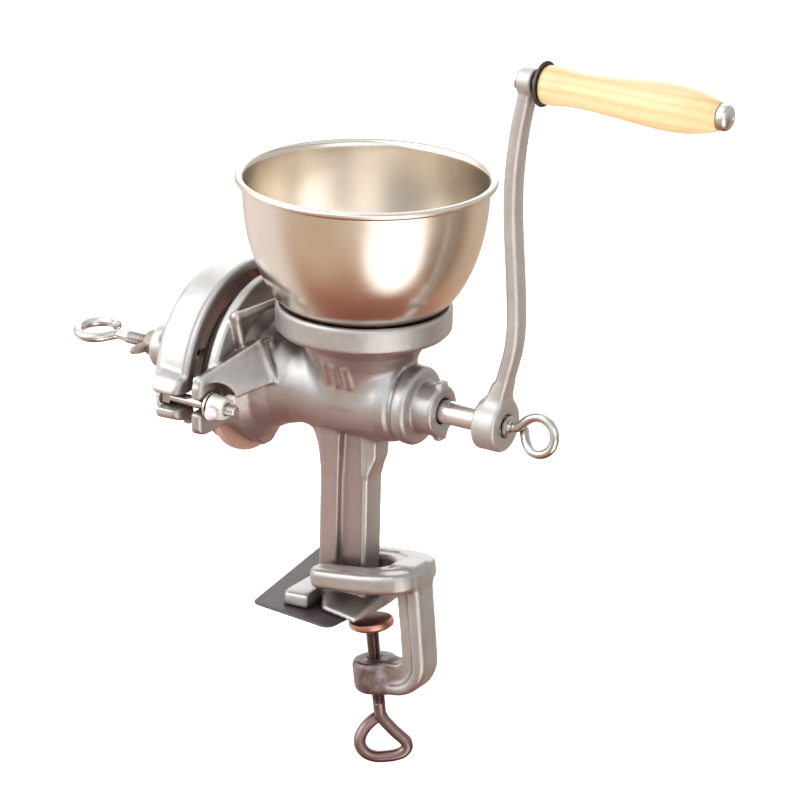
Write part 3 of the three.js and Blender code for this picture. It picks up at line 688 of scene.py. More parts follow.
def mat_cast(name, base=(0.515, 0.502, 0.492), rough=(0.29, 0.41), edge_wear_and_crevice_shade=True, grain=1.0, metallic=0.78, mark=False, shaded_rim_x=None, crevice_shade=0.42, underside_shade=0.85, boss_shade=False, post_shade=False):
    m, nt, b = new_mat(name)
    g = G(nt)
    cloud = g.noise(38, 4, 0.55)
    mott = g.noise(210, 3, 0.6)
    fine = g.noise(1250, 2, 0.6)
    olive = (base[0] * 0.91, base[1] * 0.905, base[2] * 0.88)
    col = g.mix(g.grey(cloud, 0, 1, 0.3, 0.7), olive, scaled(base, 1.08))
    col = g.mix(g.grey(mott, 0, 0.35, 0.45, 0.75), col, scaled(base, 0.74))
    if edge_wear_and_crevice_shade:
        # painted shade in creases: pointiness darkens concave creases; convex edges get lighter as edge wear
        pt = g.point()
        col = g.mix(g.grey(pt, 0.7, 0.0, 0.40, 0.495), col, (base[0] * 0.40, base[1] * 0.36, base[2] * 0.32))
        col = g.mix(g.grey(pt, 0.0, 0.75, 0.52, 0.60), col, (0.80, 0.79, 0.77))
    if mark:
        x, y, z = g.sep()
        r = g.math("SQRT", g.math("ADD", g.math("MULTIPLY", x, x), g.math("MULTIPLY", y, y)))
        wall = g.math("ADD", g.math("MULTIPLY", g.math("SUBTRACT", z, 0.1395), 0.42), 0.0253)
        proud = g.grey(g.math("SUBTRACT", r, wall), 0, 1, 0.0004, 0.0014)
        win = g.math("MULTIPLY", g.grey(z, 0, 1, 0.1385, 0.1395), g.grey(z, 1, 0, 0.1560, 0.1568))
        win = g.math("MULTIPLY", win, g.math("MULTIPLY", g.grey(x, 0, 1, -0.0102, -0.0096), g.grey(x, 1, 0, 0.0100, 0.0106)))
        win = g.math("MULTIPLY", win, g.grey(y, 1, 0, -0.019, -0.018))
        col = g.mix(g.math("MULTIPLY", g.math("MULTIPLY", proud, win), 0.75), col, (0.56, 0.36, 0.20))
    if shaded_rim_x is not None:
        # painted shade: the cover's rim from this x onwards is darkened where its joint with the body lies in shade
        x, y, z = g.sep()
        col = g.mix(g.grey(x, 0, 0.72, shaded_rim_x - 0.0006, shaded_rim_x + 0.0006), col, (0.33, 0.32, 0.31))
    # painted shade on undersides and recesses: faces that look downwards are darkened towards reddish brown, standing
    # in for shade and the reddish reflection from below; recesses follow further down
    nz = g.sep(g.tex.outputs["Normal"])[2]
    col = g.mix(g.grey(nz, underside_shade, 0.0, -0.70, 0.12), col, (base[0] * 0.60, base[1] * 0.33, base[2] * 0.30))
    if post_shade:
        # painted shade: the lower part of the post is darkened towards reddish brown where it stands in shade
        x, y, z = g.sep()
        low = g.math("MULTIPLY", g.grey(z, 1, 0, 0.100, 0.118), g.math("MULTIPLY", g.grey(z, 0, 1, 0.012, 0.018), g.grey(x, 1, 0, 0.0045, 0.0065)))
        low = g.math("MULTIPLY", low, g.grey(cloud, 0.6, 1.0, 0.3, 0.7))
        col = g.mix(g.math("MULTIPLY", low, 0.62), col, (base[0] * 0.78, base[1] * 0.50, base[2] * 0.52))
    if boss_shade:
        # painted shade: the underside around the clamp screw's boss is darkened almost to black-brown
        x, y, z = g.sep()
        ax = g.math("ADD", g.math("MULTIPLY", z, 0.1317), 0.00197)       # the tilted screw's axis at this height
        dx = g.math("ADD", x, g.math("SUBTRACT", ax, 0.0103))
        r = g.math("SQRT", g.math("ADD", g.math("MULTIPLY", dx, dx), g.math("MULTIPLY", y, y)))
        boss_shade_mask = g.math("MULTIPLY", g.grey(r, 1, 0, 0.011, 0.026), g.grey(z, 1, 0, -0.030, -0.014))
        boss_shade_mask = g.math("MULTIPLY", boss_shade_mask, g.grey(mott, 0.65, 1.0, 0.35, 0.6))
        col = g.mix(g.math("MULTIPLY", boss_shade_mask, 0.97), col, (0.11, 0.045, 0.045))
    # painted shade: ambient occlusion darkens recesses and the gaps between parts
    ao_shade = g.ao(0.022)
    col = g.mix(g.grey(ao_shade, 1.0, 0.0, 0.22, 0.88), col, (base[0] * crevice_shade, base[1] * crevice_shade * 0.78, base[2] * crevice_shade * 0.72))
    g.put(b.inputs["Base Color"], col)
    b.inputs["Metallic"].default_value = metallic
    r = g.math("ADD", g.grey(cloud, rough[0], rough[1], 0.3, 0.7), g.grey(fine, -0.05, 0.07, 0.3, 0.7))
    g.put(b.inputs["Roughness"], r)
    h = g.math("ADD", g.math("MULTIPLY", fine, 0.55 * grain), g.math("MULTIPLY", mott, 1.0))
    n1 = g.bump(h, 0.34 * grain, 0.00028)
    n2 = g.bump(g.noise(70, 2, 0.5), 0.16, 0.0012, n1)
    g.put(b.inputs["Normal"], n2)
    return m


def mat_steel(name, base=(0.78, 0.765, 0.745), rough=(0.16, 0.32), axis=(1, 1, 1), scratch=0.12, metallic=1.0):
    m, nt, b = new_mat(name)
    g = G(nt)
    st = g.noise(260, 4, 0.65, g.mapping(scale=axis))
    cl = g.noise(55, 3, 0.5)
    col = g.mix(g.grey(cl, 0, 1, 0.3, 0.7), scaled(base, 0.88), scaled(base, 1.05))
    # painted shade: pointiness darkens concave creases and ambient occlusion darkens recesses and gaps between parts
    col = g.mix(g.grey(g.point(), 0.55, 0.0, 0.40, 0.495), col, scaled(base, 0.4))
    col = g.mix(g.grey(g.ao(0.012), 0.9, 0.0, 0.25, 0.8), col, (base[0] * 0.34, base[1] * 0.27, base[2] * 0.24))
    g.put(b.inputs["Base Color"], col)
    b.inputs["Metallic"].default_value = metallic
    g.put(b.inputs["Roughness"], g.math("ADD", g.grey(cl, rough[0], rough[1], 0.3, 0.7), g.grey(st, -0.03, 0.05, 0.3, 0.7)))
    g.put(b.inputs["Normal"], g.bump(st, scratch, 0.00015))
    return m


def mat_bowl(name):
    m, nt, b = new_mat(name)
    g = G(nt)
    x, y, z = g.sep()
    r = g.math("SQRT", g.math("ADD", g.math("MULTIPLY", x, x), g.math("MULTIPLY", y, y)))
    ang = g.math("ARCTAN2", y, x)
    comb = nt.nodes.new("ShaderNodeCombineXYZ")
    g.put(comb.inputs[0], g.math("MULTIPLY", ang, 0.0004))
    g.put(comb.inputs[1], g.math("MULTIPLY", z, 1.0))
    g.put(comb.inputs[2], g.math("MULTIPLY", r, 1.0))
    rings = g.noise(1500, 3, 0.6, comb.outputs[0])
    wide = g.noise(150, 2, 0.5, comb.outputs[0])
    cl = g.noise(22, 3, 0.5)
    base = (0.80, 0.735, 0.655)
    col = g.mix(g.grey(cl, 0, 1, 0.3, 0.7), scaled(base, 0.94), scaled(base, 1.05))
    col = g.mix(g.grey(rings, 0.0, 0.16, 0.4, 0.7), col, scaled(base, 0.88))
    g.put(b.inputs["Base Color"], col)
    b.inputs["Metallic"].default_value = 1.0
    g.put(b.inputs["Roughness"], g.math("ADD", g.grey(cl, 0.18, 0.25, 0.3, 0.7), g.grey(rings, -0.02, 0.03, 0.3, 0.7)))
    n1 = g.bump(rings, 0.035, 0.0001)
    g.put(b.inputs["Normal"], g.bump(wide, 0.035, 0.0005, n1))
    tan = nt.nodes.new("ShaderNodeTangent")
    tan.direction_type = "RADIAL"
    tan.axis = "Z"
    g.put(b.inputs["Tangent"], tan.outputs[0])
    b.inputs["Anisotropic"].default_value = 0.45
    return m


def mat_wood(name):
    m, nt, b = new_mat(name)
    g = G(nt)
    v = g.mapping(scale=(0.10, 1, 1), loc=(0, 0.013, -0.318))
    dist = g.noise(26, 3, 0.55, v)
    w = nt.nodes.new("ShaderNodeTexWave")
    w.wave_type = "RINGS"
    w.rings_direction = "X"
    w.inputs["Scale"].default_value = 62
    w.inputs["Distortion"].default_value = 3.4
    w.inputs["Detail"].default_value = 3
    w.inputs["Detail Scale"].default_value = 1.6
    g.link(v, w.inputs["Vector"])
    fibre = g.noise(620, 4, 0.7, g.mapping(scale=(0.035, 1, 1)))
    pores = g.noise(1500, 2, 0.7, g.mapping(scale=(0.02, 1, 1)))
    col = g.ramp(w.outputs["Fac"], [(0.0, (0.74, 0.50, 0.235)), (0.35, (0.78, 0.55, 0.27)), (1.0, (0.82, 0.60, 0.32))])
    col = g.mix(g.grey(dist, 0, 0.5, 0.35, 0.7), col, (0.83, 0.63, 0.345))
    col = g.mix(g.grey(fibre, 0, 0.45, 0.5, 0.75), col, (0.72, 0.47, 0.19))
    col = g.mix(g.grey(pores, 0, 0.35, 0.6, 0.78), col, (0.56, 0.33, 0.13))
    g.put(b.inputs["Base Color"], col)
    g.put(b.inputs["Roughness"], g.grey(fibre, 0.34, 0.5, 0.3, 0.7))
    b.inputs["Coat Weight"].default_value = 0.55
    b.inputs["Coat Roughness"].default_value = 0.16
    g.put(b.inputs["Normal"], g.bump(g.math("ADD", fibre, g.math("MULTIPLY", w.outputs["Fac"], 0.4)), 0.14, 0.0002))
    return m


M_CAST = mat_cast("tinned_casting_look", mark=True, post_shade=True)
M_CAST_ARM = mat_cast("tinned_casting_arm", base=(0.59, 0.565, 0.545), rough=(0.38, 0.48), underside_shade=0.4)
M_CAST_CLAMP = mat_cast("tinned_casting_clamp", base=(0.50, 0.475, 0.457), rough=(0.29, 0.41), boss_shade=True)
# painted light: the cover's base colour is raised above the other castings so its drum reads near white where the light
# falls
M_COVER_LIT = mat_cast("tinned_casting_cover_lit", base=(0.62, 0.61, 0.595), rough=(0.30, 0.43), shaded_rim_x=-0.0810)
M_HUB = mat_cast("tinned_casting_hub", base=(0.46, 0.44, 0.42), rough=(0.36, 0.50))
M_LOCK = mat_cast("bronzed_casting", base=(0.42, 0.34, 0.29), rough=(0.34, 0.48))
M_NUT = mat_cast("bright_casting", base=(0.88, 0.855, 0.79), rough=(0.30, 0.42), grain=0.6, crevice_shade=0.5, underside_shade=0.2, metallic=0.4)
M_IRON = mat_cast("grinding_iron_look", base=(0.40, 0.37, 0.345), rough=(0.42, 0.6), grain=1.5)
# painted reflection: the fixed plate's iron gets a warm orange colour that stands in for the reddish light it reflects
M_IRON_REFLECT_TINT = mat_cast("grinding_iron_painted_reflection", base=(0.84, 0.55, 0.45), rough=(0.40, 0.55), grain=1.2, crevice_shade=0.6, underside_shade=0.1)
M_STEEL_X = mat_steel("plated_steel_x", base=(0.72, 0.70, 0.67), axis=(0.05, 1, 1))
M_STEEL_TURN = mat_steel("plated_steel_turned", base=(0.86, 0.845, 0.82), axis=(1, 0.06, 0.06), rough=(0.2, 0.34))
# painted reflection: the pad's plated steel is tinted salmon red to stand in for the reddish light it reflects
M_PAD_REFLECT_TINT = mat_steel("plated_steel_painted_reflection", base=(0.66, 0.35, 0.28), axis=(0.3, 0.3, 1), rough=(0.28, 0.42))
M_WIRE = mat_steel("plated_wire", base=(0.68, 0.66, 0.635), rough=(0.16, 0.30), scratch=0.07)
# painted shade: the clamp screw's plated wire is darkened to red-brown to stand in for the shade on its eye
M_WIRE_SHADED = mat_steel("plated_wire_painted_shade", base=(0.27, 0.18, 0.172), rough=(0.17, 0.31), scratch=0.07)
M_DARK = mat_steel("dark_washer_steel", base=(0.13, 0.125, 0.125), rough=(0.34, 0.5), scratch=0.2)
M_PLATE = mat_cast("dark_table_plate", base=(0.125, 0.105, 0.11), rough=(0.42, 0.55), grain=0.8, edge_wear_and_crevice_shade=False, metallic=0.7, crevice_shade=0.6)
M_BOWL = mat_bowl("spun_bowl_look")
M_WOOD = mat_wood("pale_wood_look")

MADE = []


def finish_piece(ob, body, nodes, mat):
    ob.data.materials.clear()
    ob.data.materials.append(mat)
    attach(ob, body)
    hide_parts(*nodes)
    MADE.append(ob)
    return ob


# ------------------------------------------------------------------ body casting

def build_body():
    Z = SZ
    H = 1.0
    f = Field((-71, -70, 1.8), (55, 70, 187.2), H)
    barrel = revolve([
        (0, -69), (56.2, -69), (57, -68), (57, -63.6), (56, -62.5), (39, -61.8), (33, -56), (27.6, -46), (24.8, -36), (24, -24), (24, 22), (22.8, 27),
        (20.6, 29), (20.6, 31.2), (22.3, 32.8), (22.6, 38), (21, 40.2), (15.4, 41), (14.8, 43), (14.8, 52), (13.8, 53.6), (0, 53.6)], "x")
    f.add(barrel, 0)
    neck = revolve([
        (0, 130), (22.5, 130), (25.5, 140), (30, 151), (35, 161), (39.5, 165.5), (47.6, 168.1), (49.8, 170.5),
        (49.8, 182.8), (48.6, 184), (0, 184)], "z", 0, 0)
    f.add(neck, 6.0, pad=9)
    # trimmed lower side of the flange
    for ny, nz, dist in ((-0.58, -0.815, 39), (0.64, -0.768, 36.2), (0, -1, 44)):
        L = math.hypot(ny, nz)
        ny2, nz2 = ny / L, nz / L

        def half(X, Y, Z_, ny=ny2, nz=nz2, dist=dist / L):
            d = dist - (Y * ny + (Z_ - Z) * nz)
            return smax(d + 0 * X, X + 60.5 + 0 * d, 1.0).astype(F32)
        f.cut(Shape((-72, -60, 70), (-60, 60, 130), half), 1.2)
    # ears, gussets
    for s in (-1, 1):
        ear = hull([
            (-71, s * 51, Z - 21), (-62.5, s * 51, Z - 21), (-71, s * 51, Z + 13.5), (-62.5, s * 51, Z + 14),
            (-71, s * 66, Z - 21), (-62.5, s * 66, Z - 20), (-71, s * 66, Z + 11.5), (-62.5, s * 66, Z + 12.5),
            (-69.5, s * 69, Z - 18), (-64, s * 69, Z - 17.5), (-69.5, s * 69, Z + 9), (-64, s * 69, Z + 10)], 1.6)
        gusset = hull([
            (-69, s * 67, Z + 12.5), (-64, s * 68, Z + 12.8), (-69, s * 60, Z - 5), (-62, s * 64, Z - 6),
            (-66, s * 22, Z + 27), (-47, s * 23, Z + 27), (-40.5, s * 25, Z + 5), (-60, s * 20, Z), (-44, s * 30, Z + 4.5)], 1.2)
        lower = hull([
            (-69, s * 52, Z - 20), (-63, s * 52, Z - 20), (-69, s * 52, Z - 10), (-63, s * 52, Z - 10),
            (-69, s * 30, Z - 22), (-62, s * 30, Z - 22), (-69, s * 30, Z - 8), (-60, s * 30, Z - 8)], 1.5)
        f.add(ear, 1.2)
        f.add(gusset, 1.6)
        f.add(lower, 2.0)
        # raised lip along the gusset's upper edge
        f.add(capsule_bar((-65.5, s * 66, Z + 12.2), (-52, s * 27, Z + 26.5), 1.9, 1.9), 1.6)
        f.add(capsule_bar((-52, s * 27, Z + 26.5), (-41.5, s * 26, Z + 6), 1.6, 1.4), 2.0)
    # ribs that frame the sunk pocket
    for s in (-1, 1):
        for a, b, r in (((-60.5, s * 38.5, Z + 43.5), (-59.5, s * 32.5, Z + 21), 2.7), ((-60, s * 38, Z + 43.5), (-50, s * 9, Z + 47), 2.5),
                        ((-60, s * 32.5, Z + 21), (-50, s * 18, Z + 25), 2.3)):
            f.add(capsule_bar(a, b, r, r), 2.2)
    # post
    top = Z - 12
    X0, X1, HY = -22.0, 9.5, 8.3
    f.add(block(X0, X0 + 12, -HY, HY, 1.8, top, 1.1), 3.0)
    f.add(block(X1 - 3.5, X1, -HY, HY, 1.8, top, 1.0), 3.0)
    f.add(block(X0 + 6, X1 - 1, -3.4, 3.4, 1.8, top, 0.6), 3.2)
    f.add(block(X0, X1, -HY, HY, 1.8, 13.8, 1.0), 2.0)
    f.add(hull([(X0 + 1.4, -HY + 1.4, 82), (X0 + 1.4, HY - 1.4, 82), (X0 + 10.6, -HY + 1.4, 82), (X0 + 10.6, HY - 1.4, 82), (X0 - 11, -10, top + 2), (X0 - 11, 10, top + 2), (X0 + 14, -11, top + 2), (X0 + 14, 11, top + 2)], 2.0), 4.0)
    f.add(hull([(X1 - 3.5, -HY, 84), (X1 - 3.5, HY, 84), (X1, -HY, 84), (X1, HY, 84), (X1 - 6, -10, top + 2), (X1 - 6, 10, top + 2), (X1 + 5.5, -9, top + 2), (X1 + 5.5, 9, top + 2),
                (X1 + 5, -HY, 93), (X1 + 5, HY, 93)], 2.0), 4.0)
    # foot
    f.add(hull([(-36, -24, 1.8), (-33, -27.5, 1.8), (-17.5, -27, 1.8), (-36, 24, 1.8), (-33, 27.5, 1.8), (-17.5, 27, 1.8),
                (-35, -24, 9), (-32.5, -26.5, 9), (-18, -26, 9.6), (-35, 24, 9), (-32.5, 26.5, 9), (-18, 26, 9.6), (-34, -22, 10), (-18, -22, 11), (-34, 22, 10), (-18, 22, 11)], 1.2), 1.6)
    for s in (-1, 1):
        f.add(hull([(-10.2, s * 23.4, 1.8), (15.6, s * 28.6, 1.8), (-17.6, s * 12, 1.8), (-17.6, 0, 1.8), (17.5, 0, 1.8),
                    (-9.6, s * 22.8, 4.8), (15, s * 27.9, 4.8), (-17.6, s * 11.6, 8.5), (-17.6, 0, 11), (17, s * 12, 9.5), (16.5, 0, 11)], 1.2), 1.2)
    # lugs on the horn
    for s in (1, -1):
        f.add(hull([(48.5, -5 * 1, Z + s * 11), (54.6, -5, Z + s * 11), (48.5, 5, Z + s * 11), (54.6, 5, Z + s * 11), (49.5, -4, Z + s * 17.5), (54.2, -4, Z + s * 17.5), (49.5, 4, Z + s * 17.5), (54.2, 4, Z + s * 17.5)], 1.3), 1.5)
    # plain raised bars on the neck
    for i in range(3):
        x, slant = -9 + i * 7.2, 1.1

        def face(dx, r, proud, x=x):
            return -math.sqrt(r * r - (x + dx) ** 2) - proud
        f.add(hull([(x, face(0, 25.3, 1.7), Z + 9.5), (x + 4.2, face(4.2, 25.3, 1.7), Z + 9.5 + slant), (x, face(0, 31.6, 1.7), Z + 24.5), (x + 4.2, face(4.2, 31.6, 1.7), Z + 24.5 + slant),
                    (x, -19, Z + 9.5), (x + 4.2, -19, Z + 9.5 + slant), (x, -19, Z + 24.5), (x + 4.2, -19, Z + 24.5 + slant)], 1.0), 0.8)
    # cuts
    for s in (-1, 1):
        f.cut(block(-76, -40, min(s * 56.5, s * 76), max(s * 56.5, s * 76), 127 - 4.2, 127 + 4.2, 0.3), 0.8)
        f.cut(rod("x", 4.2, -76, -40, s * 56.5, 127), 0.8)
        f.cut(rod("x", 13, -62.5, -38, s * 61, 127, 1.5), 0.8)
    f.cut(revolve([(0, 126), (18.5, 126), (22, 147), (26.5, 158), (31.5, 164), (39, 168), (39, 177.6), (46.4, 177.6), (46.4, 200), (0, 200)], "z", 0, 0), 0.7)
    f.cut(revolve([(0, -75), (20.2, -75), (20.2, 24), (0, 24)], "x"), 0.7)
    f.cut(rod("x", 7.2, 20, 60), 0.9)
    for s in (-1, 1):
        f.cut(rod("x", 2.4, -71, -63.8, s * 30, Z + 27), 0.3)
    # flat underside of the foot and flat flange face
    f.cut(block(-80, 80, -80, 80, -20, 1.8, 0), 0.25)
    f.cut(block(-90, -69, -50.6, 50.6, 40, 190, 0), 0.3)
    return solid("cast_body", f, 1, amp=0.07, size=3.2, seed=3)


finish_piece(build_body(), "frame", ["body_casting"], M_CAST)


# ------------------------------------------------------------------ grinding cover

def build_cover():
    Z = SZ
    f = Field((-139, -72, 111), (-76, 72, 193), 0.9)
    shell = revolve([
        (56, -76.5), (61.7, -76.5), (62.5, -77.4), (62.5, -80), (61, -81.6), (59.8, -82.6), (59.5, -86), (59.1, -98), (58, -101.2), (54.5, -103.8),
        (36, -111.4), (15, -122.6), (13.2, -127), (13, -137.4), (11.6, -138.8), (0, -138.8), (0, -124.5), (9, -122.4), (35, -108.2), (53, -100.6), (56, -97)], "x")
    f.add(shell, 0)
    for k in (-1, 1):
        y0, y1 = k * 52, k * 71
        f.add(hull([(-77, y0, Z - 16), (-77, y0, Z + 13), (-98, y0, Z - 17), (-98, y0, Z + 14), (-77, k * 67, Z - 15), (-77, k * 67, Z + 9), (-97, k * 67, Z - 15.5), (-97, k * 67, Z + 10.5),
                    (-80, y1, Z - 12), (-80, y1, Z + 5), (-95, y1, Z - 13), (-95, y1, Z + 6)], 1.8), 2.0)
        f.cut(block(-103, -70, min(k * 57, k * 80), max(k * 57, k * 80), 127 - 4.2, 127 + 4.2, 0.3), 1.0)
        f.cut(rod("x", 4.2, -103, -70, k * 57, 127), 0.8)
        f.cut(rod("x", 6, -108, -92.5, k * 61, 127), 0.6)
        f.cut(block(-112, -92.5, min(k * 59.7, k * 80), max(k * 59.7, k * 80), 90, 125, 0.2), 1.0)
    # stiffening web from the hub up the cone
    for a in (-0.9, 0.0, 0.9):
        f.add(capsule_bar((-131, 11.5 * math.sin(a), Z + 11.5 * math.cos(a)), (-106.5, 47 * math.sin(a), Z + 47 * math.cos(a)), 1.9, 1.5), 2.0)
    f.cut(revolve([(0, -60), (56, -60), (56, -97), (53, -100.6), (35, -108.2), (9, -122.4), (0, -124.5)], "x"), 0.4)
    f.cut(rod("x", 4.3, -146, -118), 0.6)
    f.cut(block(-160, -60, -90, 90, 40, Z - 18, 0), 0.9)
    f.cut(block(-76.5, -60, -90, 90, 40, 260, 0), 0.3)
    return solid("cast_cover", f, 1, amp=0.06, size=3.0, seed=11)


finish_piece(build_cover(), "frame", ["grinding_cover"], M_COVER_LIT)


# ------------------------------------------------------------------ bowl

def build_bowl():
    out = [(37.6, 178.2), (39.6, 178.7), (43.2, 180.7), (47, 184.9), (53.6, 193), (60.2, 205.5), (64.6, 218.5), (67.2, 231), (68.5, 243), (68.9, 252.2)]
    o = catmull(out, 7)
    T = 1.2
    t = np.gradient(o, axis=0)
    t /= np.linalg.norm(t, axis=1, keepdims=True)
    inner = np.stack([o[:, 0] - t[:, 1] * T, o[:, 1] + t[:, 0] * T], 1)
    bead = []
    for k in range(0, 18):
        a = math.radians(-142 + k * 14.2)
        bead.append((70.8 + 2.2 * math.cos(a), 255.5 + 2.2 * math.sin(a)))
    bead += [(69.5, 257.15), (68.7, 256.5), (68.1, 255.4), (67.8, 254.0)]
    prof = [(37.6, 168.4)] + [tuple(p) for p in o] + bead + [tuple(p) for p in inner[::-1]] + [(36.4, 178.0), (36.4, 168.4), (37.6, 168.4)]
    return lathe("spun_bowl", prof, "z", 176, 0, 0, sharp=50)


finish_piece(build_bowl(), "hopper", ["hopper_bowl"], M_BOWL)


# ------------------------------------------------------------------ shaft, screw and plates

def build_shaft():
    f = Field((-101.6, -6.8, 123.2), (94, 6.8, 136.8), 0.5)
    f.add(revolve([(0, -101.5), (4.9, -101.5), (5.7, -100.7), (5.7, -100), (6.7, -98.6), (6.7, 77), (6.2, 77.5), (6, 78.2), (6, 93.2), (5.3, 93.9), (0, 93.9)], "x", pad=3), 0)
    f.cut(rod("x", 3.3, 74, 99), 0.3)
    f.cut(rod("y", 2.1, -12, 12, -92, SZ), 0.2)
    f.cut(rod("x", 2.5, -106, -99.6), 0.4)
    return solid("turned_shaft", f, 1)


finish_piece(build_shaft(), "rotor", ["main_shaft"], M_STEEL_TURN)


def build_feed():
    f = Field((-67, -19.5, 110.5), (19, 19.5, 149.5), 0.8)
    f.add(revolve([(0, -66), (10.2, -66), (11.4, -52), (10.5, 18), (0, 18)], "x", pad=5), 0)

    def flight(X, Y, Z):
        r = np.sqrt(Y * Y + (Z - SZ) ** 2)
        th = np.arctan2(Z - SZ, Y)
        ph = (X + 60) / 24.0 - th / (2 * math.pi)
        d = np.abs(ph - np.round(ph)) * 24.0
        return smax(smax(d - (2.4 - (r - 10) * 0.09), r - 18.4, 0.8), np.abs(X + 24.5) - 39.5 + 0 * r, 0.8).astype(F32)
    f.add(Shape((-66, -18.6, SZ - 18.6), (18, 18.6, SZ + 18.6), flight), 1.6)
    f.cut(rod("x", 7.1, -80, 30), 0.4)
    return solid("feed_screw_cast", f, 1, amp=0.06, seed=5)


finish_piece(build_feed(), "rotor", ["feed_screw"], M_IRON)


def toothed_plate(name, R, r0, x_back, x_face, teeth, depth, direction, phase, holes):
    """disc with fine radial teeth on one face; direction +1 looks towards +X"""
    lo = min(x_back, x_face) - depth
    f = Field((lo - 0.5, -R, SZ - R), (max(x_back, x_face) + depth + 0.5, R, SZ + R), 0.7)

    def disc(X, Y, Z):
        r = np.sqrt(Y * Y + (Z - SZ) ** 2)
        th = np.arctan2(Z - SZ, Y) + phase
        twist = (r - r0) * 0.004
        saw = np.abs(((th + twist) * teeth / (2 * math.pi)) % 1.0 - 0.5) * 2.0
        mask = np.clip((r - (r0 + 7)) / 3, 0, 1) * np.clip((R - 1.2 - r) / 1.2, 0, 1)
        face = x_face + direction * depth * (saw * mask - 0.3)
        dx = np.maximum(direction * (X - face), -direction * (X - x_back))
        return smax(smax(dx, r - R, 0.7), r0 - r + 0 * dx, 0.5).astype(F32)
    f.add(Shape((lo, -R, SZ - R), (max(x_back, x_face) + depth, R, SZ + R), disc), 0)
    for y, z, r in holes:
        f.cut(rod("x", r, -90, -60, y, z), 0.3)
    return f


pf = toothed_plate("p", 48, 21, -69.3, -73.6, 48, 0.7, -1, 0.0, [(-30, SZ + 27, 2.5), (30, SZ + 27, 2.5)])
for s in (-1, 1):
    pf.cut(rod("x", 4.3, -76, -71.1, s * 30, SZ + 27), 0.2)
finish_piece(solid("fixed_plate_toothed", pf, 1), "frame", ["fixed_grinding_plate"], M_IRON_REFLECT_TINT)
pr = toothed_plate("p", 44.5, 12.4, -80.6, -76.4, 48, 0.7, 1, 0.065, [(-20, SZ, 3.4), (20, SZ, 3.4)])
finish_piece(solid("rotating_plate_toothed", pr, 1), "rotor", ["rotating_grinding_plate"], M_IRON)

for tag, s in (("near", -1), ("far", 1)):
    f = Field((-73.7, s * 30 - 4, SZ + 23), (-64.3, s * 30 + 4, SZ + 31), 0.22)
    f.add(revolve([(0, -73.6), (3.3, -73.6), (3.8, -73.2), (3.8, -72.4), (2, -71.3), (2, -65), (1.4, -64.4), (0, -64.4)], "x", s * 30, SZ + 27, pad=2, h=0.1), 0)
    f.cut(block(-75, -72.6, s * 30 - 0.5, s * 30 + 0.5, SZ + 20, SZ + 34, 0), 0.1)
    finish_piece(solid("slotted_screw_" + tag, f, 1), "frame", ["plate_screw_" + tag], M_STEEL_X)

f = Field((-100.2, -30.2, 99.8), (-76.8, 30.2, 160.2), 0.7)
f.add(revolve([(0, -100), (11, -100), (12, -99), (12.4, -90), (14, -88), (27.4, -84.8), (29.6, -84), (30, -83), (30, -80.9), (12.1, -80.9), (12.1, -76.9), (0, -76.9)], "x"), 0)
for s in (-1, 1):
    f.add(rod("x", 3, -82, -77.9, s * 20, SZ), 0.4)
    f.add(capsule_bar((-90, s * 10, SZ), (-84.6, s * 25, SZ), 2.6, 1.8), 1.5)
f.cut(rod("x", 7, -110, -70), 0.5)
f.cut(rod("y", 2.2, -14, 14, -92, SZ), 0.3)
finish_piece(solid("carrier_hub", f, 1, amp=0.05, seed=8), "rotor", ["plate_carrier"], M_HUB)
pin = lathe("cross_pin", [(0, -13.6), (1.4, -13.6), (1.9, -13.1), (1.9, 13.1), (1.4, 13.6), (0, 13.6)], "x", 32, 0, 0)
co = np.array([v.co for v in pin.data.vertices])
for v, c in zip(pin.data.vertices, co):
    v.co = (-0.092 + c[1], c[0], 0.13 + c[2])
pin.data.flip_normals()
finish_piece(pin, "rotor", ["drive_pin"], M_STEEL_X)


# ------------------------------------------------------------------ fasteners

def threaded(x, r, pitch, x_start, x_end, ang, fade=1.0, depth=0.6):
    """radius of a thread cut in a rod of radius r"""
    h = thread_h(x / pitch - ang / (2 * math.pi))
    w = min(max((x - x_start) / fade, 0.0), 1.0) * min(max((x_end - x) / fade, 0.0), 1.0)
    return r - depth * w + depth * h * w * 0.98


def x_path(stations, y, z):
    return [(x, y, z) for x in stations]


